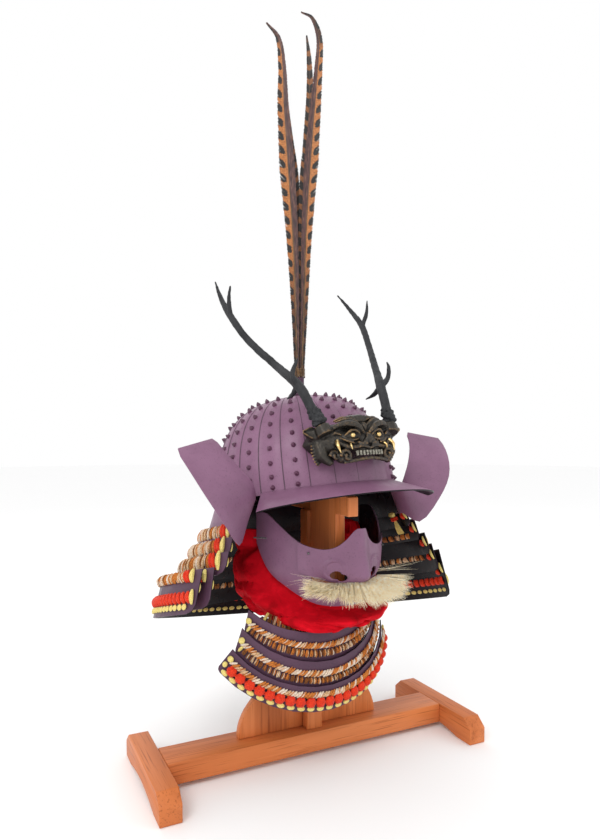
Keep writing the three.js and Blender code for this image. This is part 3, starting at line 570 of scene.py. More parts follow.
cream_silk = silk("cream_silk", (0.80, 0.60, 0.38), (0.46, 0.20, 0.06), 0.15)
orange_silk = silk("orange_silk", (0.72, 0.25, 0.045), (0.34, 0.09, 0.015), 0.1)
white_silk = silk("white_silk", (0.84, 0.76, 0.66), (0.62, 0.42, 0.26), 0.15)
brown_silk = silk("brown_silk", (0.36, 0.13, 0.035), (0.12, 0.04, 0.012), 0.05)
red_silk = silk("red_silk", (0.84, 0.050, 0.012), (0.50, 0.018, 0.006), 0.1)
yellow_silk = silk("yellow_silk", (0.86, 0.73, 0.25), (0.64, 0.47, 0.12), 0.15)
silks = [cream_silk, orange_silk, white_silk, brown_silk, red_silk, yellow_silk]
CREAM, ORANGE, WHITE, BROWN, RED, YELLOW = range(6)


def strand(bow, sides=6, steps=6):
    """A fat strand of silk, 1 long and 1 wide, that bows over a lame: it runs along Y, stands in Z."""
    form = bmesh.new()
    bmesh.ops.create_cone(form, cap_ends=True, segments=sides, radius1=1, radius2=1, depth=1)
    bmesh.ops.subdivide_edges(
        form, edges=[e for e in form.edges if abs(e.verts[0].co.z - e.verts[1].co.z) > 0.5],
        cuts=steps - 1)
    for vert in form.verts:
        along = vert.co.z + 0.5
        swell = math.sin(math.pi * (0.06 + 0.88 * along)) ** 0.55
        x, y = vert.co.x / 2 * swell, vert.co.y / 2 * swell
        vert.co = Vector((x, along - 0.5, y + bow * math.sin(math.pi * along)))
    bmesh.ops.recalc_face_normals(form, faces=form.faces)
    return form


loop_forms = {"thick": strand(0.25), "disc": bmesh.new()}
bmesh.ops.create_uvsphere(loop_forms["disc"], u_segments=12, v_segments=6, radius=0.5)


def lay(places, form, tone, on_seat, x, y, turn, width, length, depth):
    """Lays a unit form on a seat: offset and sizes in millimetres, turned in degrees."""
    places.append((form, tone, on_seat @ Matrix.Translation((x, y, 0))
                   @ Matrix.Rotation(math.radians(turn), 4, "Z")
                   @ Matrix.Diagonal((width, length, depth, 1))))


def loop_row(places, point_at, lame, end, share_from, share_to, pitch, lift, thickness, seed,
             red_ends=1, ends_clear=9, tones_under=(CREAM, WHITE, CREAM, ORANGE),
             tones_over=(BROWN, ORANGE, WHITE)):
    """One row of loops: two strands side by side and a third over them. A yellow strand ends the
    row, and next to it are as many red pairs as red_ends says."""
    draw = random.Random(seed)
    middle = (share_from + share_to) / 2
    angles = row_angles(point_at, lame, end, middle, pitch, ends_clear)
    height = (point_at(lame, 0, share_to) - point_at(lame, 0, share_from)).length / MM
    for k, angle in enumerate(angles):
        from_end = min(k, len(angles) - 1 - k)
        here = seat(point_at, lame, angle, middle, lift)
        if from_end == 0:
            lay(places, "thick", YELLOW, here, 0, 0, draw.uniform(-4, 4),
                pitch * 0.72, height * 1.12, thickness)
            continue
        if from_end <= red_ends:
            for offset in (-0.26, 0.26):
                lay(places, "thick", RED, here, offset * pitch, 0, draw.uniform(8, 16),
                    pitch * 0.58, height * 1.04, thickness * 1.1)
            continue
        for offset, share, tones in ((-0.20, 0.36, tones_under), (0.20, 0.36, tones_under),
                                     (0.0, 0.20, tones_over)):
            lay(places, "thick", draw.choice(tones), here, offset * pitch, draw.uniform(-0.4, 0.4),
                draw.uniform(-4, 14), pitch * share, height * draw.uniform(0.84, 0.98),
                thickness * (draw.uniform(0.8, 1.0) + (0.25 if offset == 0 else 0)))


NECK_ROWS = [
    # name, lame, from, to, thickness
    ("neck_lacing_1", 1, 0.42, 0.94, 4.0), ("neck_lacing_2", 2, 0.38, 0.94, 4.5),
    ("neck_lacing_3", 3, 0.34, 0.94, 5.0), ("neck_lacing_4", 4, 0.68, 0.95, 4.5),
    ("neck_lacing_5", 5, 0.76, 0.97, 5.0)]
ROWS_KNOTTED_INSIDE = (1, 3)
for row_number, (name, lame, low, high, thickness) in enumerate(NECK_ROWS):
    places = []
    loop_row(places, neck_point, lame, NECK_EDGES[lame][0] - 1.2, low, high, 9.6, 1.0, thickness * 1.25,
             10 + row_number)
    draw = random.Random(40 + row_number)
    inner_share = max(0.12, low - 0.12)
    inner_angles = row_angles(neck_point, lame, NECK_EDGES[lame][0] - 10, inner_share, 14.0, 6)
    for angle in inner_angles if row_number in ROWS_KNOTTED_INSIDE else ():
        here = seat(neck_point, lame, angle, inner_share, 2.6, -1)
        for offset in (-3.0, 0.0, 3.0):
            lay(places, "thick", draw.choice((CREAM, BROWN, ORANGE, BROWN)), here, offset, 0,
                draw.uniform(-25, 25), 3.8, 9.0, 3.4)
    for side in (-1, 1):
        end = NECK_EDGES[lame][0]
        knot = seat(neck_point, lame, side * (end - 5.0), 0.55, 3.2, -1)
        lay(places, "thick", RED, knot, 0, 0, side * 25, 8.0, 10.5, 5.0)
        leaf = seat(neck_point, lame, side * (end - 1.2), 0.62, 3.0, -1)
        lay(places, "thick", YELLOW, leaf, 0, 0, side * 8, 4.6, 15.0, 4.0)
    scattered(name + "_loops", loop_forms, places, silks, [name])

# The hem: red bindings slant over the lame's lower edge, with yellow discs under them. Inside it
# the bindings show as small bars and white dots, and as big crossed knots near the front ends.
BIG_KNOTS_FROM = 72
KNOT_PITCH = 13.4
hem_places, disc_places = [], []
hem_share, disc_share = 0.375, 0.16
hem_height = (neck_point(5, 0, 0.48) - neck_point(5, 0, 0.27)).length / MM
draw = random.Random(60)
for angle in row_angles(neck_point, 5, 108.6, hem_share, 8.8, 7):
    here = seat(neck_point, 5, angle, hem_share, 1.8)
    lay(hem_places, "thick", RED, here, 0, 0, draw.uniform(14, 22), 8.0, hem_height, 6.4)
for angle in row_angles(neck_point, 5, 107, hem_share, KNOT_PITCH, 4):
    behind = seat(neck_point, 5, angle, hem_share - 0.02, 3.0, -1)
    if abs(angle) < BIG_KNOTS_FROM:
        lay(hem_places, "thick", RED, behind, 0, 0, 84, 3.0, 9.0, 2.2)
        lay(hem_places, "disc", WHITE, behind, 6.6, 1.5, 0, 1.8, 1.8, 1.6)
    else:
        for turn in (-30, 35):
            lay(hem_places, "thick", RED, behind, 0, 0, turn, 8.4, 13.0, 6.0)
for angle in (-108.2, 108.2):
    here = seat(neck_point, 5, angle, hem_share, 1.8)
    lay(hem_places, "thick", YELLOW, here, 0, 0, 0, 6.0, hem_height * 1.2, 5.0)
for angle in row_angles(neck_point, 5, 106.5, disc_share, 9.4, 4):
    here = seat(neck_point, 5, angle, disc_share, 1.9)
    lay(disc_places, "disc", YELLOW, here, 0, 0, 0, 8.4, 7.6, 3.4)
for angle in row_angles(neck_point, 5, 107, disc_share, KNOT_PITCH, 3):
    behind = seat(neck_point, 5, angle, disc_share, 2.6, -1)
    lay(disc_places, "disc", YELLOW, behind, 0, 0, 0, 10.6, 6.2, 2.6)
scattered("neck_hem_bindings", loop_forms, hem_places, silks, ["neck_hem_knots"])
scattered("neck_hem_discs", loop_forms, disc_places, silks, ["neck_hem_dots"])

# ---------------------------------------------------------------- tie

# Inside the wearer's left end of the top lames a tuft of yellow silk is tied off with a red
# binding: the loose end of the lacing cord.
tie_places = []
tie_seat = seat(neck_point, 1, 99, 0.30, 7.0, -1) @ Matrix.Scale(1.25, 4)
for k in range(-4, 5):
    lay(tie_places, "thick", YELLOW, tie_seat, k * 0.75, -4.0, k * 4.5, 2.4, 21.0, 3.0)
for k in range(-2, 3):
    lay(tie_places, "thick", YELLOW, tie_seat, k * 1.6, 10.5, k * -22, 3.6, 9.0, 5.0)
for height in (4.6, 6.8):
    lay(tie_places, "thick", RED, tie_seat, 0, height, 86, 3.2, 11.0, 8.0)
scattered("lacing_cord_tuft", loop_forms, tie_places, silks)

# ---------------------------------------------------------------- throat guard

# Four dark plum lames under the chin, laced like the neck guard. The top one carries loops alone,
# the middle two a flat twisted braid over a row of loops, and the lowest a braid, with red silk
# knots and yellow discs along its hem.
THROAT = (Matrix.Scale(MM, 4) @ Matrix.Translation((-25, -18.9, 0))
          @ Matrix.Rotation(math.radians(7), 4, "Z"))
THROAT_END = 70
THROAT_EDGES = [
    # width, depth, centre, front and ends of the top and of the bottom edge
    ((80, 49, -38, 202, 214), (93, 52, -37, 182, 208)),
    ((104, 57, -41, 193.6, 226.5), (106, 66, -29, 150, 197)),
    ((110, 70, -30, 156.3, 203.3), (121, 70, -28.5, 119, 173)),
    ((125, 72, -30.7, 125.7, 179.4), (140, 97, -6, 93.8, 152.7))]
for lame in range(1, 5):
    two_faced(f"throat_lame_{lame}", f"throat_plate_{lame}", leans_in(THROAT),
              [dark_plum, black], 0.0004, 35)


def throat_point(lame, angle, share):
    """A place on a throat lame's outer face, by angle from the front and share of its height."""
    ends = []
    for width, depth, centre, front, sides in (THROAT_EDGES[lame][1], THROAT_EDGES[lame][0]):
        x = width * math.sin(math.radians(angle))
        y = centre - depth * math.cos(math.radians(angle))
        towards_end = (1 - math.cos(math.radians(angle))) / (1 - math.cos(math.radians(THROAT_END)))
        ends.append(Vector((x, y, front + (sides - front) * towards_end)))
    return THROAT @ ends[0].lerp(ends[1], share)


def twisted_braid(places, point_at, lame, end, share, width, lift, seed):
    """A flat braid: short strands lie slanting across it, one over the next."""
    draw = random.Random(seed)
    for k, angle in enumerate(row_angles(point_at, lame, end, share, 4.2, 3)):
        here = seat(point_at, lame, angle, share + draw.uniform(-0.006, 0.006), lift)
        tone = draw.choice((CREAM, ORANGE, ORANGE, ORANGE, WHITE, WHITE))
        slant = draw.uniform(-54, -38)
        lay(places, "thick", tone, here, 0, 0, slant, 3.5, width * 1.3, 3.8)
        if k % 2:
            lay(places, "thick", draw.choice((WHITE, ORANGE)), here, draw.uniform(-1, 1),
                draw.uniform(-1.5, 1.5), slant + 8, 1.2, width * 1.1, 4.6)


BRAID_ROWS = [
    # name, lame, braid share, loops from, loops to
    ("throat_lacing_1", 0, None, 0.22, 1.40), ("throat_lacing_2", 1, 0.62, 0.26, 0.49),
    ("throat_lacing_3", 2, 0.62, 0.26, 0.49), ("throat_lacing_4", 3, 0.70, None, None)]
for row_number, (name, lame, braid, low, high) in enumerate(BRAID_ROWS):
    places = []
    if braid is not None:
        twisted_braid(places, throat_point, lame, THROAT_END - 4.5, braid, 8.2, 2.0, 70 + row_number)
        for side in (-1, 1):
            here = seat(throat_point, lame, side * (THROAT_END - 3.2), braid + 0.02, 2.0)
            lay(places, "disc", YELLOW, here, 0, 0, 0, 8.6, 8.6, 4.0)
    if low is not None:
        loop_row(places, throat_point, lame, THROAT_END - 1.5, low, high, 6.2, 1.2, 4.6,
                 80 + row_number, red_ends=0, ends_clear=5, tones_under=(ORANGE, BROWN, CREAM, BROWN),
                 tones_over=(WHITE, ORANGE, BROWN))
    scattered(name + "_braid", loop_forms, places, silks, [name])

THROAT_KNOT_SHARE = 0.42
THROAT_DISC_SHARE = 0.165
knot_places, disc_places = [], []
for angle in row_angles(throat_point, 3, THROAT_END - 5, THROAT_KNOT_SHARE, KNOT_PITCH, 6):
    here = seat(throat_point, 3, angle, THROAT_KNOT_SHARE, 3.0)
    for turn in (-35, 35, 90):
        lay(knot_places, "thick", RED, here, 0, 0, turn, 9.6, 13.4, 7.4)
for angle in row_angles(throat_point, 3, THROAT_END - 3, THROAT_DISC_SHARE, KNOT_PITCH, 4):
    here = seat(throat_point, 3, angle, THROAT_DISC_SHARE, 2.0)
    lay(disc_places, "disc", YELLOW, here, 0, 0, 0, 10.4, 6.6, 3.6)
for side in (-1, 1):
    here = seat(throat_point, 3, side * (THROAT_END - 2.4), THROAT_KNOT_SHARE, 2.0)
    lay(disc_places, "disc", YELLOW, here, 0, 0, 0, 7.0, 8.0, 3.6)
scattered("throat_hem_silk_knots", loop_forms, knot_places, silks, ["throat_hem_knots"])
scattered("throat_hem_discs", loop_forms, disc_places, silks, ["throat_hem_dots"])

# ---------------------------------------------------------------- crest

# A cast bronze beast's face, as on many old helmets: horned brow, gilded eyes and fangs, curled
# mouth, ribbed cheek fins. The bronze is dark in the hollows and gold on the ridges: rubbed wear,
# and a painted highlight as well.


def smooth_path(points, radii, steps):
    """Points and radii along a smooth curve through a few given ones."""
    given = [Vector(p) for p in points]
    ends = [2 * given[0] - given[1], *given, 2 * given[-1] - given[-2]]
    path, sizes = [], []
    for i in range(len(given) - 1):
        a, b, c, d = ends[i:i + 4]
        for k in range(steps):
            t = k / steps
            path.append(0.5 * ((2 * b) + (c - a) * t + (2 * a - 5 * b + 4 * c - d) * t * t
                               + (3 * b - a - 3 * c + d) * t ** 3))
            sizes.append(radii[i] + (radii[i + 1] - radii[i]) * t)
    return path + [given[-1]], sizes + [radii[-1]]


def add_rod(form, points, radii, sides=8, steps=4):
    """A closed rod of changing thickness along a smooth curve: circles bridged one to the next."""
    path, sizes = smooth_path(points, radii, steps)
    last_edges, side_axis = None, None
    for i, (point, size) in enumerate(zip(path, sizes)):
        along = (path[min(i + 1, len(path) - 1)] - path[max(i - 1, 0)]).normalized()
        if side_axis is None:
            side_axis = along.orthogonal().normalized()
        side_axis = (side_axis - along * side_axis.dot(along)).normalized()
        turn = Matrix((side_axis, along.cross(side_axis), along)).transposed().to_4x4()
        capped = i in (0, len(path) - 1)
        ring = bmesh.ops.create_circle(form, cap_ends=capped, segments=sides, radius=max(size, 0.05),
                                       matrix=Matrix.Translation(point) @ turn)["verts"]
        edges = list({e for v in ring for e in v.link_edges})
        if last_edges is not None:
            bmesh.ops.bridge_loops(form, edges=last_edges + edges)
        last_edges = edges


def add_ball(form, centre, radii, around=14):
    matrix = Matrix.Translation(centre) @ Matrix.Diagonal((*radii, 1))
    bmesh.ops.create_uvsphere(form, u_segments=around, v_segments=max(6, around // 2), radius=1,
                              matrix=matrix)


def set_in(form, matrix):
    """Moves a form from a part's own frame to the object's, and turns its faces outwards."""
    bmesh.ops.transform(form, matrix=matrix, verts=form.verts)
    bmesh.ops.recalc_face_normals(form, faces=form.faces)


def skin_over(form, voxel, passes):
    """Forms that run into each other become one closed skin, softened a few times."""
    bmesh.ops.recalc_face_normals(form, faces=form.faces)
    mesh = bpy.data.meshes.new("rough")
    form.to_mesh(mesh)
    form.free()
    block = shown("rough", mesh)
    skin = block.modifiers.new("skin", "REMESH")
    skin.mode = "VOXEL"
    skin.voxel_size = voxel
    bpy.context.view_layer.update()
    cast = bpy.data.meshes.new_from_object(
        block.evaluated_get(bpy.context.evaluated_depsgraph_get()))
    made = bmesh.new()
    made.from_mesh(cast)
    bpy.data.objects.remove(block)
    bpy.data.meshes.remove(mesh)
    bpy.data.meshes.remove(cast)
    for _ in range(passes):
        bmesh.ops.smooth_vert(made, verts=made.verts, factor=0.5, use_axis_x=True, use_axis_y=True,
                              use_axis_z=True)
    return made


def cast_in_one(name, form, matrix, voxel, finishes, replaced, rough, rough_scale):
    """A casting: one skin over its forms, with a slightly uneven face."""
    bmesh.ops.transform(form, matrix=matrix, verts=form.verts)
    made = skin_over(form, voxel, 1)
    made.normal_update()
    moves = [v.normal * rough * noise.noise(v.co * rough_scale) for v in made.verts]
    for vert, move in zip(made.verts, moves):
        vert.co += move
    return piece(name, made, finishes, replaced, 180)


bronze = finish("bronze_rubbed_and_painted_highlight", 0.42, Metallic=0.85)
ridge = add_node(bronze, "NewGeometry")
cloud = cloudy(bronze, 120.0, detail=5.0)
# Painted highlight, with real wear: the colour turns from dark bronze to gold on sharp ridges, by how
# convex the surface is.
edge_light = math_node(bronze, "ADD", ridge.outputs["Pointiness"],
                       math_node(bronze, "MULTIPLY", math_node(bronze, "SUBTRACT", cloud, 0.5), 0.06))
coloured(bronze, edge_light, [
    (0.45, (0.022, 0.021, 0.021)), (0.515, (0.058, 0.052, 0.045)), (0.56, (0.24, 0.15, 0.075)),
    (0.63, (0.75, 0.47, 0.20))])
relief(bronze, cloudy(bronze, 480.0, detail=4.0), 0.6, 0.0009)
gold = finish("gilding", 0.28, Metallic=0.95)
coloured(gold, cloudy(gold, 400.0), [(0.3, (0.62, 0.38, 0.12)), (0.65, (0.95, 0.72, 0.34))])
bone = finish("worn_tooth", 0.45, Metallic=0.4)
coloured(bone, cloudy(bone, 500.0), [(0.3, (0.10, 0.10, 0.08)), (0.65, (0.34, 0.32, 0.26))])

crest_form = merged_copy("crest")
bmesh.ops.transform(crest_form, matrix=HELMET.inverted(), verts=crest_form.verts)
crest_form = skin_over(crest_form, 1.1, 7)
gilt_form = bmesh.new()


def both_sides(points):
    return [[(side * x, y, z) for x, y, z in points] for side in (-1, 1)]


for points, radii in [
        # upper lid, lower lid, brow, forehead folds, snout folds, lip, cheek, jaw
        ([(8, -149, 55), (14, -150.5, 60.5), (22, -149.5, 61.5), (30, -146, 56)], [1.0, 1.8, 1.9, 0.8]),
        ([(10, -149, 53), (17, -150, 50), (26, -148, 51), (31, -145, 55)], [0.8, 1.5, 1.5, 0.7]),
        ([(4, -150, 58), (12, -152, 66), (24, -150, 70), (36, -144, 69), (47, -134, 62)],
         [2.0, 3.4, 3.8, 3.0, 1.2]),
        ([(3, -146, 66), (12, -146, 73), (24, -143, 76), (36, -137, 74)], [1.4, 2.2, 2.4, 1.0]),
        ([(4, -142, 74), (14, -141, 78), (26, -137, 79), (34, -132, 76)], [1.2, 2.2, 2.2, 1.0]),
        ([(0, -153, 57), (3, -154, 50), (10, -153, 44), (15, -151, 47)], [2.5, 3.0, 3.0, 1.4]),
        ([(0, -154, 39), (10, -153, 42), (22, -150, 41), (32, -146, 44), (40, -141, 49),
          (46, -134, 47)], [1.8, 2.2, 2.2, 2.6, 2.4, 1.2]),
        ([(0, -152, 27), (12, -151, 26), (24, -147, 25), (33, -142, 24)], [2.2, 2.4, 2.4, 2.0]),
        ([(34, -145, 57), (40, -141, 60), (46, -135, 57)], [1.0, 2.0, 0.8]),
        ([(20, -150, 46), (28, -148, 49), (36, -143, 54)], [1.0, 1.9, 0.8])]:
    for side_points in both_sides(points):
        add_rod(crest_form, side_points, radii, 8, 4)
for x, y, z, curl in [(31.5, -146, 31, 8.5), (43, -138, 33, 6.5)]:
    spiral = [(x + curl * (1 - t / 9) * math.cos(t * 0.95), y - 1.2 * t / 4,
               z + curl * (1 - t / 9) * math.sin(t * 0.95)) for t in range(9)]
    for side_points in both_sides(spiral):
        add_rod(crest_form, side_points, [2.3] * 8 + [1.6], 8, 2)
for rib in range(9):
    turn = math.radians(-70 + rib * 13)
    root = (46 + 2 * math.cos(turn), -128, 44 + 5 * math.sin(turn))
    tip = (52 + 13 * math.cos(turn), -118 - 3 * math.cos(turn), 42 + 19 * math.sin(turn))
    for side_points in both_sides([root, tip]):
        add_rod(crest_form, side_points, [1.8, 1.2], 6, 2)
for ear_rim in ([(52, -124, 66), (63, -126, 70), (76, -126, 66.5)],
                [(52, -127, 56), (64, -127, 58), (76, -126, 65)]):
    for side_points in both_sides(ear_rim):
        add_rod(crest_form, side_points, [1.5, 1.8, 0.7], 6, 3)
for side in (-1, 1):
    add_ball(crest_form, (side * 6.5, -153.5, 45), (4.2, 4.0, 3.4))
    add_ball(crest_form, (side * 12, -138, 79), (6, 5, 3))
    add_ball(gilt_form, (side * 19.8, -148.6, 55.6), (3.5, 3.2, 3.2), 16)
add_ball(crest_form, (0, -153.5, 49), (5.0, 4.6, 5.0))
add_ball(crest_form, (0, -146, 66), (4.0, 6.0, 6.0))
cast_in_one("crest_casting", crest_form, HELMET, 0.00085, [bronze], ["crest"],
            0.00025, 420.0)
for points, radii in [
        ([(40, -143, 50), (42.5, -147, 44), (41, -149, 35)], [2.6, 2.2, 0.5]),
        ([(26, -150, 45), (27, -152.5, 42), (26.5, -153, 38)], [1.5, 1.2, 0.4])]:
    for side_points in both_sides(points):
        add_rod(gilt_form, side_points, radii, 8, 4)
gilded_faces = len(gilt_form.faces)
for tooth in range(-4, 5):
    x = tooth * 4.6
    add_rod(gilt_form, [(x, -152.8 + x * x * 0.006, 36), (x, -153.2 + x * x * 0.006, 30.5)],
            [1.8, 1.5], 8, 2)
gilt_form.faces.ensure_lookup_table()
for face in gilt_form.faces[gilded_faces:]:
    face.material_index = 1
set_in(gilt_form, HELMET)
piece("crest_eyes_and_teeth", gilt_form, [gold, bone], (), 60)

# ---------------------------------------------------------------- antlers

# A pair of slender antlers of charcoal resin, each cast in one: a round beam with a few tines and
# a burr of knobs at its root, beside the crest.
charcoal = finish("charcoal_antler", 0.62, Specular_IOR_Level=0.3)
coloured(charcoal, cloudy(charcoal, 45.0, (1, 1, 0.35), 6.0), [
    (0.3, (0.014, 0.015, 0.017)), (0.7, (0.040, 0.041, 0.044))])
relief(charcoal, cloudy(charcoal, 260.0, (1, 1, 0.3), 5.0), 0.5, 0.001)
ANTLER_RODS = [
    ([(53.4, -132, 72), (59, -124, 98), (65, -113, 125.6), (80, -90, 158), (98, -62, 198),
      (108, -40, 238.6), (107, -18, 272), (102.4, 0, 300)], [6.8, 6, 6.4, 5, 4.6, 4.6, 3, 1.2]),
    ([(66, -112, 126), (75, -118, 137), (73, -125, 149), (69.2, -127, 156.4)], [4.6, 3.4, 2.4, 0.9]),
    ([(65, -113, 125.6), (64, -97, 119), (63, -80.4, 117)], [4.6, 3, 0.9]),
    ([(108, -41, 238), (112, -50, 254), (111, -56.7, 271.2)], [3.8, 2.8, 1])]
KNOBS_A_RING = 9
# How far along the beam each ring of knobs lies, how far out, and how big its knobs are.
BURR_RINGS = [(4, 8.0, 2.6), (9, 7.4, 2.4), (14, 7.0, 2.4), (18.5, 6.8, 2.1), (23, 6.2, 1.6)]
for side, side_name in ((-1, "right"), (1, "left")):
    antler_form = bmesh.new()
    for points, radii in ANTLER_RODS:
        add_rod(antler_form, [(side * x, y, z) for x, y, z in points], radii, 12, 5)
    draw = random.Random(7)
    root, beyond = (Vector((side * x, y, z)) for x, y, z in ANTLER_RODS[0][0][:2])
    beam_way = (beyond - root).normalized()
    across_a = beam_way.orthogonal().normalized()
    across_b = beam_way.cross(across_a)
    for away, reach, size in BURR_RINGS:
        for k in range(KNOBS_A_RING):
            turn = 2 * math.pi * (k + draw.uniform(0.0, 0.9)) / KNOBS_A_RING
            spot = root + beam_way * (away + draw.uniform(-2.4, 2.4)) + (
                across_a * math.cos(turn) + across_b * math.sin(turn)) * reach
            add_ball(antler_form, spot, [size * draw.uniform(0.65, 1.25)] * 3, 8)
    cast_in_one("antler_branch_" + side_name, antler_form, HELMET, 0.0010, [charcoal],
                ["antler_" + side_name], 0.0005, 170.0)

# ---------------------------------------------------------------- face mask

# A half mask in the same plum lacquer, black inside: a cheek and chin plate, and a nose plate
# hooked over it, with nostrils cut through and a raised ring round each wing of the nose.
MASK = (Matrix.Scale(MM, 4) @ Matrix.Translation((0, -18.9, 0))
        @ Matrix.Rotation(math.radians(7), 4, "Z"))
MASK_WALL = 2.0
MASK_CENTRE_Y = -20
CHEEK_END = 95
NOSE_END = 50
MOUTH_HEIGHT = 256
MOUTH_CORNER = (38, 47)
NOSE_FOOT = 257
ALA_X = 31
ALA_HEIGHT = 275
INSIDE_POINT = (0, -10, 280)
MASK_SECTIONS = [(222, 58, 83), (245, 72, 90), (275, 82, 93), (345, 85, 94)]
NOSE_SECTIONS = [(240, 0, 20), (253, 2, 22), (266, 20, 16), (276, 19, 15), (300, 12, 13), (328, 9, 11)]
MASK_TOP_EDGE = [(0, 326), (4, 325), (11, 312), (20, 303), (32, 301), (50, 310), (66, 328), (80, 342),
                 (95, 341)]
MASK_LOWER_EDGE = [(0, 226), (35, 228), (50, 235), (65, 249), (80, 266), (95, 300)]


def between(rows, value, column=1, ease=True):
    """A column of a table between its rows, on a smooth curve."""
    if value <= rows[0][0]:
        return rows[0][column]
    if value >= rows[-1][0]:
        return rows[-1][column]
    i = next(i for i in range(1, len(rows)) if value <= rows[i][0])
    a, b = rows[i - 1], rows[i]
    t = (value - a[0]) / (b[0] - a[0])
    if not ease:
        return a[column] + (b[column] - a[column]) * t
    before = rows[i - 2] if i > 1 else a
    after = rows[i + 1] if i + 1 < len(rows) else b
    width = b[0] - a[0]
    slope_a = (b[column] - before[column]) / max(b[0] - before[0], 1e-6) * width
    slope_b = (after[column] - a[column]) / max(after[0] - a[0], 1e-6) * width
    return ((2 * t ** 3 - 3 * t ** 2 + 1) * a[column] + (t ** 3 - 2 * t ** 2 + t) * slope_a
            + (3 * t ** 2 - 2 * t ** 3) * b[column] + (t ** 3 - t ** 2) * slope_b)


def mask_point(angle, z, grow=0.0):
    """The mask's inner face by angle from the front and height, in the mask's own millimetres."""
    half_width = between(MASK_SECTIONS, z, 1) + grow
    half_depth = between(MASK_SECTIONS, z, 2) + grow
    x = half_width * math.sin(math.radians(angle))
    bump = between(NOSE_SECTIONS, z, 1) * math.exp(-(x / between(NOSE_SECTIONS, z, 2)) ** 2)
    return Vector((x, MASK_CENTRE_Y - half_depth * math.cos(math.radians(angle)) - bump, z))


def step_between(value, low, high):
    t = min(1.0, max(0.0, (value - low) / (high - low)))
    return t * t * (3 - 2 * t)


def bent_sheet(across, along, place):
    """A grid bent to place(u, v), with u and v from 0 to 1."""
    form = bmesh.new()
    bmesh.ops.create_grid(form, x_segments=across, y_segments=along, size=0.5)
    for vert in form.verts:
        vert.co = place(vert.co.x + 0.5, vert.co.y + 0.5)
    return form


def thicken(form, thickness, outward_from):
    """Gives a sheet its wall, all of it on the side that faces away from a point."""
    bmesh.ops.recalc_face_normals(form, faces=form.faces)
    form.normal_update()
    lean = sum(f.normal.dot(f.calc_center_median() - Vector(outward_from)) for f in form.faces)
    if lean < 0:
        bmesh.ops.reverse_faces(form, faces=form.faces)
    bmesh.ops.solidify(form, geom=form.faces, thickness=-thickness)
    bmesh.ops.recalc_face_normals(form, faces=form.faces)


def spread_angle(u, end):
    """An angle from -end to end for u from 0 to 1, with the steps closer together in front."""
    side = 2 * u - 1
    return end * math.copysign(abs(side) ** 1.4, side)


def cheek_place(u, v):
    angle = spread_angle(u, CHEEK_END)
    away = abs(angle)
    low = between(MASK_LOWER_EDGE, away)
    share = step_between(away, *MOUTH_CORNER)
    top = MOUTH_HEIGHT + (between(MASK_TOP_EDGE, away) - MOUTH_HEIGHT) * share
    z = low + (top - low) * v
    return mask_point(angle, z)


def nose_place(u, v):
    angle = spread_angle(u, NOSE_END)
    low = NOSE_FOOT + 0.006 * angle ** 2
    z = low + (between(MASK_TOP_EDGE, abs(angle)) - low) * v
    point = mask_point(angle, z, MASK_WALL + 0.9)
    for side in (-1, 1):
        away = math.hypot(point.x - side * ALA_X, point.z - ALA_HEIGHT)
        point.y -= 1.9 * math.exp(-((away - 12.0) / 1.5) ** 2) + 1.4 * math.exp(-(away / 9.5) ** 4)
    return point


def mask_piece(name, form, replaced, cuts=()):
    """A mask plate from its sheet, black inside, with a painted shadow on its cut edges, and holes cut
    through.
    """
    thicken(form, MASK_WALL, INSIDE_POINT)
    ease_edges(form, 0.5, 50.0)
    bmesh.ops.transform(form, matrix=MASK, verts=form.verts)
    form.normal_update()
    inside = leans_in(MASK)
    back = MASK.inverted()
    for face in form.faces:
        face.material_index = 1 if inside(face.calc_center_median(), face.normal) else 0
        here = back @ face.calc_center_median()
        outward = Vector((here.x, here.y - MASK_CENTRE_Y, 0)).normalized()
        # Faces that stand across the sheet, its cut edges, take the painted shadow.
        if abs((back.to_3x3() @ face.normal).normalized().dot(outward)) < 0.42:
            face.material_index = 2
    made = piece(name, form, [plum, black, seam], [replaced], 40)
    for centre, radii in cuts:
        cutter_form = bmesh.new()
        add_ball(cutter_form, centre, radii, 28)
        bmesh.ops.transform(cutter_form, matrix=MASK, verts=cutter_form.verts)
        cutter_mesh = bpy.data.meshes.new(name + "_cutter")
        cutter_form.to_mesh(cutter_mesh)
        cutter_form.free()
        cutter = shown(name + "_cutter", cutter_mesh)
        cut = made.modifiers.new("cut", "BOOLEAN")
        cut.operation = "DIFFERENCE"
        cut.object = cutter
        bpy.context.view_layer.update()
        cut_mesh = bpy.data.meshes.new_from_object(
            made.evaluated_get(bpy.context.evaluated_depsgraph_get()))
        made.modifiers.clear()
        made.data = cut_mesh
        bpy.data.objects.remove(cutter)
    return made


mask_piece("mask_cheek_plate", bent_sheet(120, 22, cheek_place), "mask_cheeks")
mask_piece("mask_nose_plate", bent_sheet(120, 60, nose_place), "mask_nose",
           [((side * x, -120, z), (reach, 22, rise)) for side in (-1, 1)
            for x, z, reach, rise in ((23, 265, 6, 4.6), (30, 268.5, 7.5, 5.4))])

# Blackened iron: a hook on each cheek for a tying cord, and a pin at each side of the nose.
iron = finish("blackened_iron", 0.4, Metallic=0.8)
coloured(iron, cloudy(iron, 500.0), [(0.3, (0.05,) * 3), (0.7, (0.22,) * 3)])
pin_form = bmesh.new()
for side in (-1, 1):
    hook = [mask_point(side * angle, height, out)
            for angle, height, out in ((78, 310, 5), (80, 311, 12), (84, 311, 17))]
    add_rod(pin_form, hook, [1.0, 1.0, 1.0], 8, 3)
    add_ball(pin_form, mask_point(side * 41, 296, 6), (1.6, 1.6, 1.6), 10)
set_in(pin_form, MASK)
piece("mask_pins", pin_form, [iron])

# ---------------------------------------------------------------- moustache

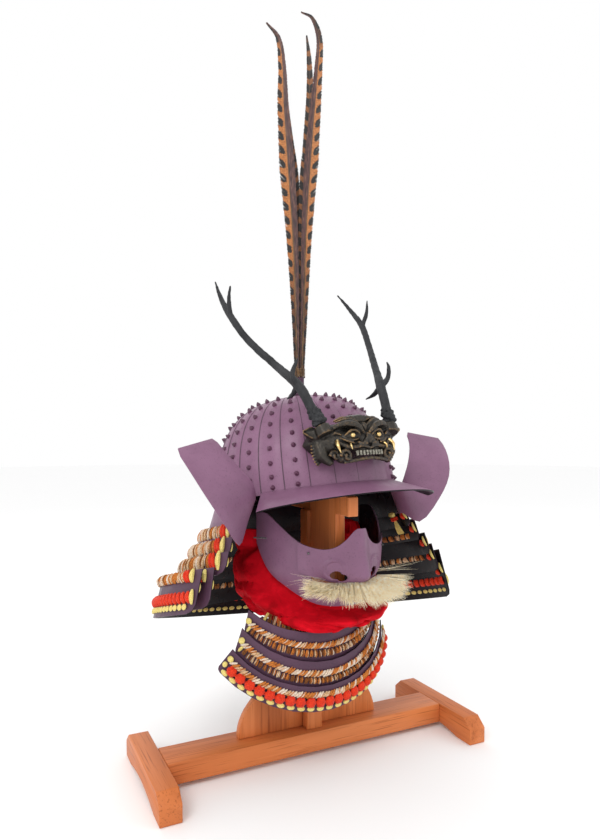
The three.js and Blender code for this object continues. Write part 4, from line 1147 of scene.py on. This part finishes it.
# Coarse cream bristle set in rows under the nose and fanning out to both sides, in loose tufts, with
# a few longer stray whiskers. It leans down to the wearer's left.
BRISTLES = 3600
TUFTS = 70
STRAYS_A_SIDE = 9
ROOTS_HALF_WIDTH = 46
LIP_RADIUS = 82
TIPS_HALF_WIDTH = 86
LEAN = 11.5
bristle = finish("cream_bristle", 0.55)
coloured(bristle, cloudy(bristle, 350.0, detail=4.0), [
    (0.30, (0.86, 0.60, 0.28)), (0.46, (0.97, 0.84, 0.56)), (0.66, (1.0, 0.95, 0.80))])
bristle_forms = {}
for bend_name, bend in (("straight", 0.0), ("bent", 0.09), ("curled", -0.08)):
    hair = bmesh.new()
    bmesh.ops.create_cone(hair, cap_ends=True, segments=3, radius1=0.5, radius2=0.16, depth=1)
    bmesh.ops.subdivide_edges(hair, cuts=2, edges=[
        e for e in hair.edges if abs(e.verts[0].co.z - e.verts[1].co.z) > 0.5])
    for vert in hair.verts:
        vert.co.z += 0.5
        vert.co.x += bend * vert.co.z ** 2 * 20
    bristle_forms[bend_name] = hair


def hair_place(root, tip, width):
    way = tip - root
    turn = way.to_track_quat("Z", "Y").to_matrix().to_4x4()
    return (MASK @ Matrix.Translation(root) @ turn
            @ Matrix.Diagonal((width, width, way.length, 1)))


draw = random.Random(3)
tufts = [Vector((draw.uniform(-4, 4), draw.uniform(-3, 3), draw.uniform(-3.5, 3.5)))
         for _ in range(TUFTS)]
bristle_places = []
for _ in range(BRISTLES):
    s = draw.uniform(-1, 1)
    s = math.copysign(abs(s) ** 0.85, s)
    fan = abs(s)
    layer = draw.random()
    angle = math.degrees(math.asin(min(0.98, ROOTS_HALF_WIDTH * fan / LIP_RADIUS)))
    root = mask_point(math.copysign(angle, s), 260.5 - 9 * layer - 2 * fan, 5)
    root.y -= 1.5
    reach = draw.uniform(0.78, 1.06)
    droop = 257.5 - LEAN * s - 22 * math.cos(fan * math.pi / 2) ** 0.5
    tip = Vector((TIPS_HALF_WIDTH * s, -124 - 27 * (1 - fan), droop))
    tuft = tufts[int((s + 1) * TUFTS / 2) % TUFTS]
    tip += tuft + Vector((0, 6 * layer, (0.5 - layer) * 26 * fan))
    tip += Vector((draw.uniform(-3, 3), draw.uniform(-4, 4), draw.uniform(-3, 3)))
    tip = root.lerp(tip, reach)
    bristle_places.append((draw.choice(("straight", "bent", "curled")), 0,
                           hair_place(root, tip, draw.uniform(0.40, 0.68))))
for side in (-1, 1):
    for _ in range(STRAYS_A_SIDE):
        root = mask_point(side * draw.uniform(26, 34), draw.uniform(262, 268), 4)
        tip = root + Vector((side * draw.uniform(38, 62), draw.uniform(-30, -12), draw.uniform(-6, 16)))
        bristle_places.append(("bent", 0, hair_place(root, tip, 0.34)))
scattered("moustache_bristle", bristle_forms, bristle_places, [bristle],
          ["moustache"], 180)

# ---------------------------------------------------------------- red collar

# A padded collar of crushed crimson velvet lines the mask, rolls out under its edge and lies in
# long soft folds over the throat guard.
CLOTH_END = 122
ROLL_BELOW_MASK = 13
TUCKED_ABOVE_EDGE = 16
FREE_FROM = (98, 107)
CLOTH_LOWER_EDGE = [(0, 200), (30, 198.5), (60, 207), (90, 220), (122, 236)]
velvet = finish("crimson_velvet", 0.8, Sheen_Weight=0.35, Sheen_Roughness=0.35,
                Sheen_Tint=(1.0, 0.04, 0.06, 1), Specular_IOR_Level=0.08)
pile = cloudy(velvet, 45.0, detail=8.0, distortion=0.6)
velvet_tone = ramp(velvet, pile, [
    (0.30, (0.36, 0.0015, 0.006)), (0.50, (0.55, 0.002, 0.010)), (0.70, (0.70, 0.004, 0.015))])
# Painted shade: the velvet's colour is darkened in the hollows of its folds and creases, by how concave
# the surface is.
painted_fold_shade = ramp(velvet, add_node(velvet, "NewGeometry").outputs["Pointiness"], [
    (0.42, (0.22, 0.2, 0.2)), (0.50, (1, 1, 1))])
to_shader(velvet, mix(velvet, 1.0, velvet_tone, painted_fold_shade, "MULTIPLY"), "Base Color")
relief(velvet, cloudy(velvet, 260.0, detail=6.0, distortion=0.5), 0.3, 0.0010)


def fold(angle, z):
    """How far the velvet stands out in its folds, in millimetres."""
    warp = noise.noise(Vector((angle * 0.045, z * 0.03, 1.3)))
    long_folds = abs(math.sin(z * 0.11 + angle * 0.026 + 2.2 * warp)) ** 0.8
    cross = noise.noise(Vector((angle * 0.050, z * 0.035, 4.7)))
    creases = abs(noise.noise(Vector((angle * 0.060 + z * 0.02, z * 0.060, 2.1))))
    return 7.0 * (long_folds - 0.6) + 4.0 * cross - 2.6 * max(0.0, 0.16 - creases) / 0.16


def collar_place(u, v):
    """The velvet hangs free below, and rolls in behind the mask above, but not past its ends."""
    angle = -CLOTH_END + 2 * CLOTH_END * u
    away = abs(angle)
    mask_low = between(MASK_LOWER_EDGE, away, ease=False)
    low = between(CLOTH_LOWER_EDGE, away)
    roll = mask_low - ROLL_BELOW_MASK
    if v < 0.5:
        z = low + (roll - low) * v / 0.5
    else:
        z = roll + (mask_low + TUCKED_ABOVE_EDGE - roll) * (v - 0.5) / 0.5
    tucked = step_between(v, 0.38, 0.6)
    free = step_between(away, *FREE_FROM)
    bulge = 4 * math.sin(min(1.0, v / 0.55) * math.pi)
    out = bulge + 7 + fold(angle, z) * (0.25 + 0.75 * (1 - tucked * (1 - free)))
    hanging = Vector((-3 + (91.5 + out) * math.sin(math.radians(angle)),
                      -14 - (95 + out) * math.cos(math.radians(angle)), z))
    tucked_in = mask_point(angle, z, -2.1)
    lowered = 1.8 * noise.noise(Vector((angle * 0.07, 0, 9.0))) * max(0.0, 1 - v * 3)
    place = hanging.lerp(tucked_in, tucked * (1 - free))
    place.z += lowered
    return place


collar_form = bent_sheet(220, 44, collar_place)
thicken(collar_form, -5.5, (0, -10, 230))
ease_edges(collar_form, 1.6, 50.0, 3)
bmesh.ops.smooth_vert(collar_form, verts=collar_form.verts, factor=0.5, use_axis_x=True,
                      use_axis_y=True, use_axis_z=True)
bmesh.ops.transform(collar_form, matrix=MASK, verts=collar_form.verts)
collar = piece("velvet_collar", collar_form, [velvet], ["red_collar"], 180)

# ---------------------------------------------------------------- plume

# Four long pheasant tail feathers bound together in a lacquered socket on the crown, each a thin
# quill with two vanes of barbs. Two feathers are barred black on russet right across, and two
# only on one vane, with a plain dark one beside it. The tallest curls over at its tip.
PLUME = (Matrix.Scale(MM, 4) @ Matrix.Translation((-4, -5.9, 485))
         @ Matrix.Rotation(math.radians(-26.4), 4, "Z"))
VANE_SHARES = [(0, 0.25), (0.2, 0.5), (0.41, 0.78), (0.57, 1), (0.75, 0.7), (0.85, 0.5),
               (0.93, 0.35), (1, 0.08)]
FEATHERS = [
    # full width, depth, barred side, bars, the middle line's points
    (22, -4.8, -1, "outer", [(-3, 30), (-5.5, 142), (-9, 231), (-15, 319), (-21, 406), (-22.5, 456),
                             (-28, 496), (-44, 517)]),
    (17, 4.8, 1, "full", [(-2, 30), (-5, 231), (-8, 312), (-14, 372), (-18, 419)]),
    (18, 1.6, 1, "full", [(1, 30), (3, 142), (5, 231), (8, 312), (11, 354), (14, 424), (13, 472),
                          (10, 504)]),
    (20, -1.6, 1, "outer", [(3, 30), (5, 94), (7, 161), (10, 249), (17, 354), (25, 452), (27, 496),
                            (18, 524), (3, 533)])]
BAR_PITCH = 19.0
SHAFT_STEPS = 40
BARE_QUILL = 14.0
BARB_PITCH = 0.85
BARB_WIDTH = 1.6
BROKEN_BARBS = 0.012


def feather_finish(name, bars, shift):
    """Barbs coloured by their place on the feather: U runs across from quill to edge, V along."""
    made = finish(name, 0.5, Sheen_Weight=0.15)
    place = add_node(made, "TexCoord")
    parts = add_node(made, "SeparateXYZ")
    made.node_tree.links.new(place.outputs["UV"], parts.inputs["Vector"])
    across, along = parts.outputs["X"], parts.outputs["Y"]
    streaks = cloudy(made, 1.0, (8, 700, 1), 3.0, source="UV")
    light, deep = (1.0, 0.35) if bars == "outer" else (0.6, 0.25)
    brown = ramp(made, streaks, [
        (0.3, (0.26 * deep, 0.075 * deep, 0.016 * deep)),
        (0.5, (0.42 * light, 0.140 * light, 0.030 * light)),
        (0.72, (0.60 * light, 0.26 * light, 0.075 * light))])
    wave = math_node(made, "FRACT", math_node(
        made, "ADD", math_node(made, "MULTIPLY", along, 1000 / BAR_PITCH), shift))
    half_bar, centre, half_width = (0.30, 1.0, 0.72) if bars == "outer" else (0.31, 0.5, 1.3)
    up = math_node(made, "DIVIDE", math_node(made, "SUBTRACT", wave, 0.5), half_bar)
    out = math_node(made, "DIVIDE", math_node(made, "SUBTRACT", across, centre), half_width)
    oval = math_node(made, "ADD", math_node(made, "POWER", math_node(made, "ABSOLUTE", up), 2.6),
                     math_node(made, "POWER", math_node(made, "ABSOLUTE", out), 2.6))
    ragged = math_node(made, "ADD", oval, math_node(made, "MULTIPLY", math_node(
        made, "SUBTRACT", streaks, 0.5), 0.7))
    band = ramp(made, math_node(made, "MULTIPLY", ragged, 0.5), [(0.44, (1,) * 3), (0.56, (0,) * 3)])
    barred = mix(made, band, brown, (0.008, 0.005, 0.004))
    root_dark = ramp(made, along, [(0.06, (0.16, 0.13, 0.12)), (0.20, (1, 1, 1))])
    tip_dark = ramp(made, along, [(0.445, (1, 1, 1)), (0.475, (0.12, 0.10, 0.10))])
    shaded = mix(made, 1.0, mix(made, 1.0, barred, root_dark, "MULTIPLY"), tip_dark, "MULTIPLY")
    to_shader(made, shaded, "Base Color")
    return made


outer_vane = feather_finish("barred_russet_vane", "outer", 0.0)
full_vane = feather_finish("barred_full_vane", "full", 0.35)
inner_vane = finish("plain_inner_vane", 0.5, Sheen_Weight=0.15)
inner_cloud = cloudy(inner_vane, 90.0, (6, 6, 1), 5.0)
coloured(inner_vane, inner_cloud, [
    (0.35, (0.030, 0.012, 0.012)), (0.55, (0.085, 0.032, 0.028)), (0.72, (0.18, 0.085, 0.05))])
quill = finish("quill", 0.35)
coloured(quill, cloudy(quill, 60.0, (8, 8, 1)), [
    (0.3, (0.06, 0.03, 0.012)), (0.7, (0.22, 0.12, 0.05))])
barb = bmesh.new()
bmesh.ops.create_grid(barb, x_segments=3, y_segments=1, size=0.5)
for vert in barb.verts:
    s = vert.co.x + 0.5
    vert.co = Vector((s, vert.co.y * (1.0 - 0.45 * s ** 3), 0.08 * s * s))


def feather_line(points):
    """Many steps along a feather's middle line, and the length so far at each."""
    path, _ = smooth_path([(x, 0, z) for x, z in points], [1] * len(points), 40)
    lengths = [0.0]
    for a, b in zip(path, path[1:]):
        lengths.append(lengths[-1] + (b - a).length)
    return path, lengths


def at_length(path, lengths, want):
    """The place and direction at a length along a line."""
    i = int(np.searchsorted(lengths, want))
    i = min(max(i, 1), len(lengths) - 1)
    t = (want - lengths[i - 1]) / max(lengths[i] - lengths[i - 1], 1e-9)
    ahead = (path[i] - path[i - 1]).normalized()
    return path[i - 1].lerp(path[i], t), ahead


barb_copies = {"outer": [], "full": [], "inner": []}
shaft_form = bmesh.new()
draw = random.Random(11)
for width, depth, barred_side, bars, points in FEATHERS:
    path, lengths = feather_line(points)
    total = lengths[-1]
    spots = [at_length(path, lengths, total * k / SHAFT_STEPS) for k in range(SHAFT_STEPS + 1)]
    add_rod(shaft_form, [p + Vector((0, depth, 0)) for p, _ in spots],
            [1.25 * (1 - 0.82 * k / SHAFT_STEPS) for k in range(SHAFT_STEPS + 1)], 6, 1)
    for side in (-1, 1):
        kind = bars if bars == "full" or side == barred_side else "inner"
        reach_share = 0.56 if side == barred_side else 0.44
        walk = BARE_QUILL
        while walk < total:
            share = walk / total
            spot, ahead = at_length(path, lengths, walk)
            half = width * between(VANE_SHARES, share, ease=False) * reach_share
            lean = math.radians(34 - 12 * share + draw.uniform(-3, 3)) + 0.25
            outward = Vector((ahead.z, 0, -ahead.x)) * side
            way = (outward * math.sin(lean) + ahead * math.cos(lean)).normalized()
            reach = half / max(0.3, math.sin(lean)) * draw.uniform(0.93, 1.03)
            if draw.random() < BROKEN_BARBS:
                reach *= 0.7
            normal = Vector((0, -1, 0)) + outward * draw.uniform(-0.15, 0.15)
            cross = normal.cross(way).normalized()
            normal = way.cross(cross)
            turn = Matrix((way, cross, normal)).transposed().to_4x4()
            matrix = (PLUME @ Matrix.Translation(spot + Vector((0, depth - 0.2, 0))) @ turn
                      @ Matrix.Diagonal((reach, BARB_WIDTH, reach, 1)))
            barb_copies[kind].append((matrix, walk, reach, way, ahead))
            walk += BARB_PITCH
set_in(shaft_form, PLUME)
piece("plume_quills", shaft_form, [quill], (), 180)
for kind, vane in (("outer", outer_vane), ("full", full_vane), ("inner", inner_vane)):
    vanes = scattered(f"plume_{kind}_vanes", {"barb": barb},
                      [("barb", 0, copy[0]) for copy in barb_copies[kind]], [vane],
                      ["plume"], 180)
    local = np.array([v.co[:] for v in barb.verts])
    place = np.zeros((len(barb_copies[kind]), len(local), 2))
    for i, (_, walk, reach, way, ahead) in enumerate(barb_copies[kind]):
        climb = max(0.0, way.dot(ahead))
        place[i, :, 0] = local[:, 0]
        place[i, :, 1] = (walk + 0.45 * climb * reach * local[:, 0]) * MM
    uv = vanes.data.uv_layers.new(name="vane")
    corners = np.empty(len(vanes.data.loops), dtype=np.int32)
    vanes.data.loops.foreach_get("vertex_index", corners)
    uv.data.foreach_set("uv", place.reshape(-1, 2)[corners].astype(np.float32).ravel())

# The socket: a small turned cup of dark lacquer, and a dark brown thread binding above it.
socket_form = bmesh.new()
profile = [(0, 0), (9, 0), (9, 1), (8.6, 2), (8.2, 12), (9, 13), (9, 14), (7, 16), (6.5, 17),
           (6.3, 35), (6.6, 36), (6.4, 37), (0, 37)]
ring = [socket_form.verts.new((r, 0, z)) for r, z in profile]
edges = [socket_form.edges.new((a, b)) for a, b in zip(ring, ring[1:])]
bmesh.ops.spin(socket_form, geom=edges, axis=(0, 0, 1), cent=(0, 0, 0), steps=40,
               angle=2 * math.pi, use_merge=True)
bmesh.ops.remove_doubles(socket_form, verts=socket_form.verts, dist=0.001)
set_in(socket_form, PLUME)
piece("plume_socket", socket_form, [dark_plum], (), 40)
THREAD_TURNS = 6
STEPS_A_TURN = 12
THREAD_RADIUS = 7.2
THREAD_PITCH = 1.9
helix = []
for t in range(STEPS_A_TURN * THREAD_TURNS + 1):
    turn = 2 * math.pi * t / STEPS_A_TURN
    helix.append((THREAD_RADIUS * math.cos(turn), THREAD_RADIUS * math.sin(turn),
                  37.5 + THREAD_PITCH * t / STEPS_A_TURN))
thread_form = bmesh.new()
add_rod(thread_form, helix, [0.9] * len(helix), 6, 1)
set_in(thread_form, PLUME)
piece("plume_binding", thread_form, [quill], (), 180)

# ---------------------------------------------------------------- measures

size = {"packed": [list(corner) for corner in packed_box],
        "visual": [list(corner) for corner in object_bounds()]}
